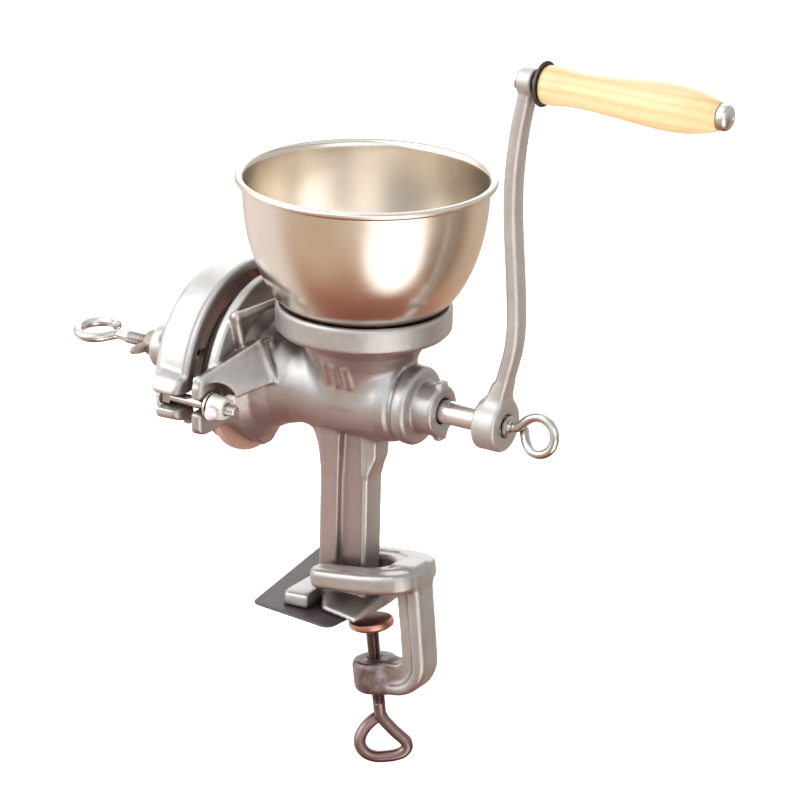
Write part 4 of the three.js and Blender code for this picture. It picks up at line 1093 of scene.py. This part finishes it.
for tag, s in (("near", -1), ("far", 1)):
    y, z = s * 61, 127
    st = [(-95.3, 0.4), (-95.3, 1.6), (-95.15, 3.2), (-94.7, 4.3), (-94.0, 5.0), (-93.3, 5.3), (-92.85, 5.3), (-92.8, 5.15), (-92.8, 3.3)]
    xs = [a for a, _ in st] + list(np.arange(-92.0, -66.0, 1.5)) + list(np.arange(-66.0, -44.6, 0.1)) + [-44.6, -44.3, -44.0, -44.0]
    rs = [b for _, b in st]

    def rad(i, sdist, ang, xs=xs, rs=rs):
        if i < len(rs):
            return rs[i]
        x = xs[i]
        if i == len(xs) - 1:
            return 0.5
        chamfer = 3.3 - max(0.0, x + 44.9) * 0.75
        return np.minimum(threaded(x, 3.3, 1.0, -66, -43, ang, depth=0.55), chamfer)
    P = np.array(x_path(xs, y, z))
    # a touch of spacing keeps the stations distinct
    P[:, 0] += np.arange(len(P)) * 1e-5
    bolt = swept("cover_bolt_threaded_" + tag, P, rad, 32)
    f = Field((-93, y - 3.6, z - 3.6), (-86.8, y + 3.6, z + 3.6), 0.3)
    f.add(block(-92.9, -87, y - 3.4, y + 3.4, z - 3.4, z + 3.4, 0.4), 0)
    neck = solid("neck_tmp", f, 1)
    bm = bmesh.new()
    bm.from_mesh(bolt.data)
    bm.from_mesh(neck.data)
    bm.to_mesh(bolt.data)
    bm.free()
    bpy.data.objects.remove(neck)
    bolt.data.polygons.foreach_set("use_smooth", [True] * len(bolt.data.polygons))
    finish_piece(bolt, "frame", ["cover_bolt_" + tag], M_STEEL_X)
    w = lathe("flat_washer_" + tag, bez_corner([(3.75, -62.2), (8, -62.2), (8, -60.7), (3.75, -60.7)], 0.35, True, 3), "x", 64, y, z, sharp=60)
    finish_piece(w, "washer_" + tag, ["washer_" + tag], M_STEEL_X)
    # cast wing nut
    f = Field((-60.6, y - 14.5, z - 10), (-46, y + 14.5, z + 10), 0.36)
    f.add(revolve([(0, -60.4), (6.9, -60.4), (7.4, -59.8), (6.9, -57), (6.3, -52), (5.6, -50.6), (5.2, -50.4), (0, -50.4)], "x", y, z, pad=3, h=0.12), 0)
    tilt = 0.10 if s < 0 else -0.35
    for wgn in (-1, 1):
        def put(x, u, v=0.0, wgn=wgn):
            return (x, y + wgn * u * math.cos(tilt), z + wgn * u * math.sin(tilt) + v)
        f.add(capsule_bar(put(-56.9, 5.0), put(-55.6, 9.4, 0.3), 2.9, 2.9, (1.12, 1, 0.78)), 1.8)
        f.add(capsule_bar(put(-55.6, 9.2, 0.3), put(-52.6, 9.6, 1.2), 2.8, 2.5, (1.1, 1, 0.85)), 1.6)
    f.cut(rod("x", 3.45, -70, -40, y, z), 0.4)
    finish_piece(solid("wing_nut_cast_" + tag, f, 2, amp=0.03, size=1.6, seed=21), "nut_" + tag, ["wing_nut_" + tag], M_NUT)

ball = lathe("thrust_ball_ground", [(4.4 * math.sin(math.pi * k / 24) if 0 < k < 24 else 0.0, -106.3 - 4.4 * math.cos(math.pi * k / 24)) for k in range(25)], "x", 48)
finish_piece(ball, "thrust", ["thrust_ball"], M_STEEL_X)


def eye_path(start, along, side, pts, lead, n0=14):
    """straight lead-in, then the eye through local points (along, side, across)"""
    S, A, B = np.array(start, float), np.array(along, float), np.array(side, float)
    A /= np.linalg.norm(A)
    B = B - A * np.dot(A, B)
    B /= np.linalg.norm(B)
    C = np.cross(A, B)
    ctrl = [S + A * u + B * v + C * w for u, v, w in pts]
    curve = catmull(ctrl, 9)
    first = curve[0]
    lead_pts = [np.array(p, float) for p in lead]
    return np.array([*lead_pts, *curve]), len(lead_pts)


def loop_points(radius, lift, flat=1.0, a0=-150, a1=150, step=15, tail=4.5, neck=3.0):
    c = radius * flat + lift
    pts = [(-neck, 0, 0), (-neck * 0.3, 0, 0)]
    d = a0
    while d <= a1 + 0.1:
        t = math.radians(d)
        w = 0.0 if d < 60 else ((d - 60) / (a1 - 60)) ** 1.5 * tail
        pts.append((c + radius * flat * math.cos(t), -radius * math.sin(t) * 1.02, w))
        d += step
    return pts


def rounded_end(path, base, rads, r, n=4):
    return rads


# adjusting screw: threaded rod whose end is bent into an eye
xs = [-111.1, -111.1] + list(np.arange(-111.3, -165.0, -0.13))
lead = [(x, 0, SZ) for x in xs]
P, nl = eye_path((-170.5, 0, SZ), (-1, 0, 0), (0, -0.995, -0.10), loop_points(11.4, 1.6, 1.0, -150, 157, 15, 2.4, 4.5), lead)
P[:nl, 0] -= np.arange(nl) * 1e-5


def rad(i, s, ang, P=P, nl=nl):
    x = P[i][0]
    last = len(P) - 1 - i
    if last < 4:
        return 2.85 * (0.35, 0.72, 0.92, 1.0)[last]
    if i >= nl:
        return 2.85
    if i == 0:
        return 0.5
    if i == 1:
        return 2.7
    ch = 2.7 + min(1.05, (-111.1 - x) * 0.8)
    body = threaded(-x, 3.75, 1.25, 110.0, 161.0, -ang + math.pi, depth=0.68)
    k = min(max((-x - 160.0) / 5.0, 0.0), 1.0)
    return np.minimum(body * (1 - k) + 2.9 * k, ch)


finish_piece(swept("adjusting_screw_threaded", P, rad, 36), "adjuster", ["adjusting_screw"], M_WIRE)

# lock nut with two flat wings
f = Field((-150.6, -17.6, 121), (-139, 17.6, 139), 0.4)
f.add(revolve([(0, -139.2), (8.1, -139.2), (8.6, -139.8), (8.2, -142), (7.2, -145.8), (6.6, -146.4), (0, -146.4)], "x", 0, SZ, pad=3, h=0.12), 0)
for w in (-1, 1):
    dz = 1.6 * w
    f.add(hull([(-139.8, w * 6, SZ - 3.2), (-139.8, w * 6, SZ + 3.2), (-145.5, w * 5.6, SZ - 3.0), (-145.5, w * 5.6, SZ + 3.0), (-144, w * 14.6, SZ - 2.6 + dz), (-144, w * 14.6, SZ + 2.2 + dz),
                (-147.4, w * 17.2, SZ - 2.4 + dz), (-147.4, w * 17.2, SZ + 1.8 + dz), (-150, w * 15.6, SZ - 2.4 + dz), (-150, w * 15.6, SZ + 1.8 + dz), (-148, w * 9.5, SZ - 2.6), (-148, w * 9.5, SZ + 2.6)], 1.5), 1.6)
f.cut(rod("x", 3.95, -160, -130), 0.4)
finish_piece(solid("lock_nut_cast", f, 2, amp=0.03, size=1.8, seed=31), "lock", ["lock_nut"], M_LOCK)


# ------------------------------------------------------------------ crank and grip

def build_crank():
    GZ = SZ + 198
    f = Field((79, -15.6, 114.6), (106, 15.6, 336), 0.7)
    path = catmull([(87.5, 138), (89.5, 146), (92.3, 156), (95.3, 167), (97.4, 177), (98.3, 188), (97.9, 202), (96.6, 220), (95, 238), (94, 254), (93.8, 270), (94.6, 284), (96, 297), (97.8, 308), (99.6, 317), (101, 325.5)], 8)
    tab = Table(lambda P, Q: line_dist(path, P, Q), (76, 128), (110, 338), 0.25)

    def bar(X, Y, Z):
        d = tab(X, Z)
        q = ((d / 4.2) ** 3 + (np.abs(Y) / 6.3) ** 3) ** (1 / 3.0)
        return ((q - 1) * 4.4).astype(F32)
    f.add(Shape((82, -7, 134), (106, 7, 331), bar), 0)
    f.add(revolve([(0, 79.5), (14, 79.5), (15.2, 80.6), (15.2, 93), (14.2, 94.3), (0, 94.3)], "x"), 3.0, pad=6)
    f.add(hull([(82, -8, SZ + 11), (82, 8, SZ + 11), (93.5, -8, SZ + 11), (93.5, 8, SZ + 11), (86.5, -5.2, SZ + 25), (86.5, 5.2, SZ + 25), (95.4, -5.2, SZ + 25), (95.4, 5.2, SZ + 25)], 2.0), 3.0)
    f.add(revolve([(0, 96.4), (6.5, 96.4), (7.4, 97.2), (7.4, 104.6), (6.6, 105.4), (0, 105.4)], "x", 0, GZ, pad=5), 1.6)
    f.cut(revolve([(0, 70), (7, 70), (7, 79.2), (6.3, 80), (6.3, 105), (0, 105)], "x", pad=4), 0.5)
    f.cut(rod("x", 3.5, 90, 112, 0, GZ), 0.5)
    return solid("crank_arm_cast", f, 2, amp=0.05, size=3.0, seed=41)


finish_piece(build_crank(), "rotor", ["crank_arm"], M_CAST_ARM)

# crank screw: threaded shank, shoulder, and an eye bent from the same rod
sta = [(76.5, 0.5), (76.5, 2.3), (77.1, 3.0)]
xs = [a for a, _ in sta] + list(np.arange(77.3, 93.6, 0.12)) + [94.6, 94.7, 94.72, 94.9, 95.5, 96.3, 96.6, 96.62, 97.0, 97.6, 98.2]
head = {94.7: 3.0, 94.72: 5.6, 94.9: 6.1, 95.5: 6.2, 96.3: 6.15, 96.6: 5.7, 96.62: 3.5, 97.0: 3.2, 97.6: 2.9, 98.2: 2.7, 94.6: 3.0}
lead = [(x, 0, SZ) for x in xs]
drop = [(-3.0, 0, 0), (-1.2, 0.3, 0), (1.4, 2.8, 0.1), (4.0, 6.0, 0.3), (7.0, 8.7, 0.4), (10.6, 10.3, 0.4), (14.6, 10.2, 0.2), (18.6, 8.4, 0), (21.8, 4.9, 0), (23.0, 0.2, 0),
        (22.0, -4.8, 0), (18.8, -8.4, 0), (14.6, -10.2, -0.2), (10.4, -10.1, -0.7), (6.8, -8.2, -1.7), (4.0, -5.2, -3.0), (1.8, -2.0, -4.6), (0.4, 0.4, -5.6)]
P, nl = eye_path((101.8, 0, SZ), (1, 0, -0.11), (0, 0.12, 1), drop, lead)
P[:nl, 0] += np.arange(nl) * 1e-5


def rad(i, s, ang, P=P, nl=nl, xs=xs):
    last = len(P) - 1 - i
    if last < 4:
        return 2.6 * (0.35, 0.72, 0.92, 1.0)[last]
    if i >= nl:
        return 2.6
    if i < 3:
        return sta[i][1]
    if xs[i] in head:
        return head[xs[i]]
    return threaded(xs[i], 3.0, 1.0, 76.6, 94.4, ang, depth=0.52)


finish_piece(swept("crank_screw_threaded", P, rad, 32), "crank_fixing", ["crank_screw"], M_WIRE)

GZ = SZ + 198
cap = [(0, 94), (4.6, 94), (5.4, 94.5), (5.6, 95), (5.6, 95.8), (5.3, 96.1), (3.2, 96.1), (3.2, 216.3), (6.9, 216.3), (7.2, 216.6), (7.2, 219.3)]
for k in range(1, 8):
    a = k / 8 * math.pi / 2
    cap.append((7.2 * math.cos(a) ** 0.8, 219.3 + 3.4 * math.sin(a)))
cap += [(1.8, 222.75), (1.4, 222.3), (0, 222.2)]
finish_piece(lathe("grip_bolt_turned", cap, "x", 72, 0, GZ, sharp=38), "rotor", ["grip_bolt"], M_STEEL_X)
finish_piece(lathe("grip_washer_pressed", bez_corner([(3.6, 109.9), (12.5, 109.9), (12.5, 111.1), (3.6, 111.1)], 0.35, True, 4), "x", 96, 0, GZ, sharp=60), "rotor", ["grip_washer"], M_DARK)
finish_piece(lathe("grip_sleeve", bez_corner([(3.6, 105.8), (5.6, 105.8), (5.6, 109.7), (3.6, 109.7)], 0.4, True, 3), "x", 64, 0, GZ, sharp=60), "rotor", ["grip_spacer"], M_STEEL_X)

gp = catmull([(10.6, 113.0), (10.75, 117), (10.3, 121.5), (9.75, 126), (9.65, 132), (9.95, 143), (10.9, 157), (12.0, 171), (12.6, 184), (12.15, 197), (10.6, 206), (8.9, 212.6), (7.75, 215.6)], 8)
prof = [(3.7, 111.3), (9.4, 111.3), (10.1, 111.6), (10.45, 112.2)] + [tuple(p) for p in gp] + [(7.4, 215.95), (6.9, 216.0), (3.7, 216.0), (3.7, 111.3)]
finish_piece(lathe("turned_wood_grip", prof, "x", 128, 0, GZ, sharp=50), "grip", ["wooden_grip"], M_WOOD)


# ------------------------------------------------------------------ clamp

def build_clamp():
    SX = 5.1
    f = Field((-21, -27, -51), (45, 27, 30.5), 0.8)

    def turn(cx, cz, r, a0, a1, n=14):
        return [(cx + r * math.cos(math.radians(a0 + (a1 - a0) * i / n)), cz + r * math.sin(math.radians(a0 + (a1 - a0) * i / n))) for i in range(n + 1)]
    crown = [(39.5, 29.5), (41.8, 28.9), (43.6, 27.2), (44.4, 24.6)]
    outline = [(27, 29.5)] + crown + turn(21, -27.4, 22, 0, -90) + [(SX, -49.4), (SX, -31), (21.5, -31)] + turn(22, -25, 6, -90, 0, 6) + [(28.5, 20), (27, 20)]
    f.add(extrude(outline, "xz", -6.6, 6.6, 1.4), 0)
    # thicker outer flange that follows the back and the bottom
    flange = [(30, 29.5)] + crown + turn(21, -27.4, 22, 0, -90) + [(12, -49.4), (12, -43.6), (18, -43.6)] + turn(20.8, -28.6, 15, -90, 0) + [(36.3, 22), (30, 22)]
    f.add(extrude(flange, "xz", -9.6, 9.6, 2.6), 3.2)
    fork = [(44.2, -9.0), (44.2, 9.0), (43.6, 13.2), (41.2, 17.6), (37.0, 21.0), (31.0, 23.6), (24.0, 25.2), (16.0, 25.9), (6.0, 26.0)]

    def arc(cx, cy, r, a0, a1, n):
        for i in range(n + 1):
            a = math.radians(a0 + (a1 - a0) * i / n)
            fork.append((cx + r * math.cos(a), cy + r * math.sin(a)))
    arc(-12, 17.5, 8.2, 90, 265, 16)
    fork += [(-4, 9.2), (8, 9.6), (13.5, 9.2), (18, 7.4), (21.4, 4.6), (22.8, 1.6), (22.8, -1.6), (21.4, -4.6), (18, -7.4), (13.5, -9.2), (8, -9.6), (-4, -9.2)]
    arc(-12, -17.5, 8.2, 95, 270, 16)
    fork += [(6.0, -26.0), (16.0, -25.9), (24.0, -25.2), (31.0, -23.6), (37.0, -21.0), (41.2, -17.6), (43.6, -13.2)]
    f.add(extrude(bez_corner(fork, 7, True, 3), "xy", 16.6, 28.5, 3.4), 3.4)
    # low rib along the top of each arm
    for s in (-1, 1):
        f.add(capsule_bar((-13, s * 17.6, 27.3), (17, s * 17.4, 27.3), 2.1, 2.1), 1.2)
        f.add(capsule_bar((17, s * 17.4, 27.3), (34, s * 9.5, 27.3), 2.1, 1.9), 1.2)
    f.add(revolve([(0, -50), (10.6, -50), (12.6, -48.2), (13.2, -45.5), (13.2, -33.5), (12.2, -31.4), (10.8, -31), (0, -31)], "z", SX, 0), 3.0)
    f.cut(rod("z", 4.15, -70, -10, SX, 0), 0.7)
    return solid("clamp_cast", f, 2, amp=0.06, size=3.2, seed=51, tilt=True)


finish_piece(build_clamp(), "clamp", ["clamp_bracket"], M_CAST_CLAMP)

pad = [(0, -6.9), (11.3, -6.9), (12.1, -7.15), (12.8, -7.7), (13, -8.4), (13, -10.3), (12.6, -11.1), (11, -12.3), (8.6, -13.35), (7.8, -13.5), (4.4, -13.5), (4.2, -13.3), (4.2, -10.5), (0, -10.5)]
finish_piece(lathe("pressure_pad_turned", pad, "z", 80, 5.1, 0, sharp=40, tilt=True), "pad", ["pressure_pad"], M_PAD_REFLECT_TINT)

zs = [-10.9, -10.9, -12.1] + list(np.arange(-12.2, -62.6, -0.125))
lead = [(5.1, 0, z) for z in zs]
eye = [(-5.2, 0, 0), (-2.6, 0.4, 0), (1.2, 2.0, 0.1), (4.4, 4.3, 0.2), (8.2, 7.2, 0.2), (12.0, 10.6, 0.1), (15.6, 13.4, 0), (18.9, 13.6, 0), (21.7, 11.2, 0), (23.1, 6.8, 0), (23.5, 0.4, 0),
       (22.9, -5.4, 0), (20.4, -10.4, -0.2), (16.2, -13.1, -0.6), (11.4, -12.9, -1.6), (7.0, -10.2, -3.2), (3.9, -6.6, -5.0), (1.6, -2.8, -6.4), (0.4, 0.9, -7.0)]
P, nl = eye_path((5.1, 0, -68.5), (0, 0, -1), (0.85, 0.53, 0), eye, lead)
P[:nl, 2] -= np.arange(nl) * 1e-5


def rad(i, s, ang, P=P, nl=nl):
    last = len(P) - 1 - i
    if last < 4:
        return 3.5 * (0.35, 0.72, 0.92, 1.0)[last]
    if i >= nl:
        return 3.5
    if i == 0:
        return 0.5
    if i == 1:
        return 3.0
    z = -P[i][2]
    k = min(max((z - 57.0) / 4.0, 0.0), 1.0)
    body = threaded(z, 3.75, 1.25, 12.0, 59.0, ang, depth=0.68)
    return body * (1 - k) + 3.55 * k


finish_piece(swept("clamp_screw_threaded", P, rad, 36, start_normal=(1, 0, 0), tilt=True), "clamp_screw", ["clamp_screw"], M_WIRE_SHADED)

# ------------------------------------------------------------------ table plate
outline = bez_corner([(-50.5, -33.5), (6, -40), (13, 60), (-65, 64)], [6, 7, 7, 7], True, 8)
f = Field((-66, -41, -0.2), (14, 65, 1.7), 0.5)
f.add(extrude(outline, "xy", 0.0, 1.5, 0.55, pad=4), 0)
finish_piece(solid("table_plate_pressed", f, 1), "frame", ["table_plate"], M_PLATE)


# ------------------------------------------------------------------ stage, light, camera
FLOOR_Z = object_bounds()[0][2] - 0.0190      # the clamp screw can be wound down by 16.5 mm


def stage_mat(name, col, emit):
    m, nt, b = new_mat(name)
    g = G(nt)
    n = g.noise(3.0, 2, 0.5)
    c = g.mix(g.grey(n, 0, 1, 0.3, 0.7), scaled(col, 0.985), col)
    g.put(b.inputs["Base Color"], c)
    b.inputs["Roughness"].default_value = 0.9
    b.inputs["Specular IOR Level"].default_value = 0.0
    g.put(b.inputs["Emission Color"], c)
    b.inputs["Emission Strength"].default_value = emit
    return m


bm = bmesh.new()
bmesh.ops.create_grid(bm, x_segments=8, y_segments=8, size=9.0)
me = bpy.data.meshes.new("studio_floor")
bm.to_mesh(me)
bm.free()
floor = bpy.data.objects.new("studio_floor", me)
floor.location = (0, 0, FLOOR_Z)
bpy.context.scene.collection.objects.link(floor)
me.materials.append(stage_mat("floor_paper", (0.93, 0.93, 0.93), 0.45))
floor.visible_glossy = False

bm = bmesh.new()
bmesh.ops.create_uvsphere(bm, u_segments=48, v_segments=24, radius=8.5)
me = bpy.data.meshes.new("studio_backdrop")
bm.to_mesh(me)
bm.free()
dome = bpy.data.objects.new("studio_backdrop", me)
bpy.context.scene.collection.objects.link(dome)
dm, nt, b = new_mat("backdrop_paper")
b.inputs["Base Color"].default_value = (0.9, 0.9, 0.9, 1)
b.inputs["Emission Color"].default_value = (1, 1, 1, 1)
b.inputs["Emission Strength"].default_value = 0.97
b.inputs["Specular IOR Level"].default_value = 0.0
me.materials.append(dm)
for attr in ("visible_glossy", "visible_diffuse", "visible_shadow", "visible_transmission", "visible_volume_scatter"):
    setattr(dome, attr, False)

world = bpy.data.worlds.new("studio")
bpy.context.scene.world = world
world.use_nodes = True
nt = world.node_tree
for n in list(nt.nodes):
    nt.nodes.remove(n)
wo = nt.nodes.new("ShaderNodeOutputWorld")
bg = nt.nodes.new("ShaderNodeBackground")
nt.links.new(bg.outputs[0], wo.inputs[0])
tc = nt.nodes.new("ShaderNodeTexCoord")
g = G.__new__(G)
g.nt = nt
g.obj = tc.outputs["Generated"]
sep = g.sep()
zc = g.grey(sep[2], 0, 1, -1, 1)


def lin(c):
    return tuple(((v / 255 + 0.055) / 1.055) ** 2.4 if v / 255 > 0.04045 else v / 255 / 12.92 for v in c)


col = g.ramp(zc, [(0.0, lin((146, 92, 78))), (0.067, lin((172, 118, 98))), (0.146, lin((198, 156, 132))), (0.213, lin((214, 184, 160))), (0.310, lin((222, 200, 180))),
                  (0.413, lin((208, 200, 193))), (0.50, lin((204, 203, 201))), (0.70, lin((226, 227, 228))), (0.86, lin((190, 191, 192))), (1.0, lin((150, 150, 151)))])


def glow(col, az, el, inner, outer, colour, amount):
    d = (math.cos(math.radians(el)) * math.cos(math.radians(az)), math.cos(math.radians(el)) * math.sin(math.radians(az)), math.sin(math.radians(el)))
    n = nt.nodes.new("ShaderNodeVectorMath")
    n.operation = "DOT_PRODUCT"
    nt.links.new(tc.outputs["Generated"], n.inputs[0])
    n.inputs[1].default_value = d
    m = nt.nodes.new("ShaderNodeMapRange")
    m.interpolation_type = "SMOOTHSTEP"
    m.clamp = True
    m.inputs["From Min"].default_value = math.cos(math.radians(outer))
    m.inputs["From Max"].default_value = math.cos(math.radians(inner))
    m.inputs["To Min"].default_value = 0
    m.inputs["To Max"].default_value = amount
    nt.links.new(n.outputs["Value"], m.inputs["Value"])
    return g.mix(m.outputs["Result"], col, colour)


col = glow(col, -27, -31, 17, 32, (2.3, 2.24, 2.16), 1.0)      # bright card low on the right of the camera
col = glow(col, -138, 38, 26, 55, (2.1, 2.13, 2.18), 1.0)     # soft box from the left
col = glow(col, -52, 24, 10, 33, (1.50, 1.56, 1.66), 0.95)      # soft box above the camera
col = glow(col, 121, 24, 14, 36, (2.1, 2.1, 2.1), 0.95)      # window behind the object
col = glow(col, 178, -24, 16, 44, (1.10, 1.02, 0.99), 0.9)       # paper beyond the left end
col = glow(col, -105, -30, 6, 26, lin((222, 194, 166)), 0.7)     # tan side of the room
col = glow(col, 30, -27, 12, 30, lin((128, 106, 90)), 0.8)       # narrow dark stand on the right
g.put(bg.inputs["Color"], col)
bg.inputs["Strength"].default_value = 0.92
world.cycles.sampling_method = "NONE"


def area(name, loc, target, size, power, colour=(1, 1, 1), size_y=None):
    d = bpy.data.lights.new(name, "AREA")
    d.shape = "RECTANGLE" if size_y else "SQUARE"
    d.size = size
    if size_y:
        d.size_y = size_y
    d.energy = power
    d.color = colour
    o = bpy.data.objects.new(name, d)
    o.location = loc
    o.rotation_euler = (Vector(target) - Vector(loc)).to_track_quat("-Z", "Y").to_euler()
    bpy.context.scene.collection.objects.link(o)
    return o


area("key_left", (-1.3, -1.5, 1.5), (0, 0, 0.15), 1.3, 7.5, (1.0, 0.99, 0.98))
area("top_soft", (0.3, 0.2, 2.2), (0, 0, 0.1), 1.8, 6, (1.0, 1.0, 1.0))
area("fill_right", (1.9, -0.9, 0.9), (0, 0, 0.15), 1.2, 3.5, (1.0, 0.99, 0.97))

R2 = Vector((0.84845, 0.52878, 0.02294))
U2 = Vector((-0.20052, 0.28104, 0.93851))
FW = Vector((-0.48982, 0.80088, -0.34448))
cam_data = bpy.data.cameras.new("studio_camera")
cam_data.sensor_width = 36
cam_data.lens = 180
cam_data.clip_start = 0.05
cam_data.clip_end = 50
cam = bpy.data.objects.new("studio_camera", cam_data)
m = Matrix.Identity(4)
for i in range(3):
    m[i][0], m[i][1], m[i][2] = R2[i], U2[i], -FW[i]
m[0][3], m[1][3], m[2][3] = 1.121528, -1.792789, 0.901680
cam.matrix_world = m
bpy.context.scene.collection.objects.link(cam)
bpy.context.scene.camera = cam
bpy.context.scene.view_settings.view_transform = "Standard"
bpy.context.scene.view_settings.look = "None"

for ob in MADE:
    assert len(ob.data.polygons) > 0, ob.name
print("faces", {ob.name: len(ob.data.polygons) for ob in MADE}, sum(len(ob.data.polygons) for ob in MADE))
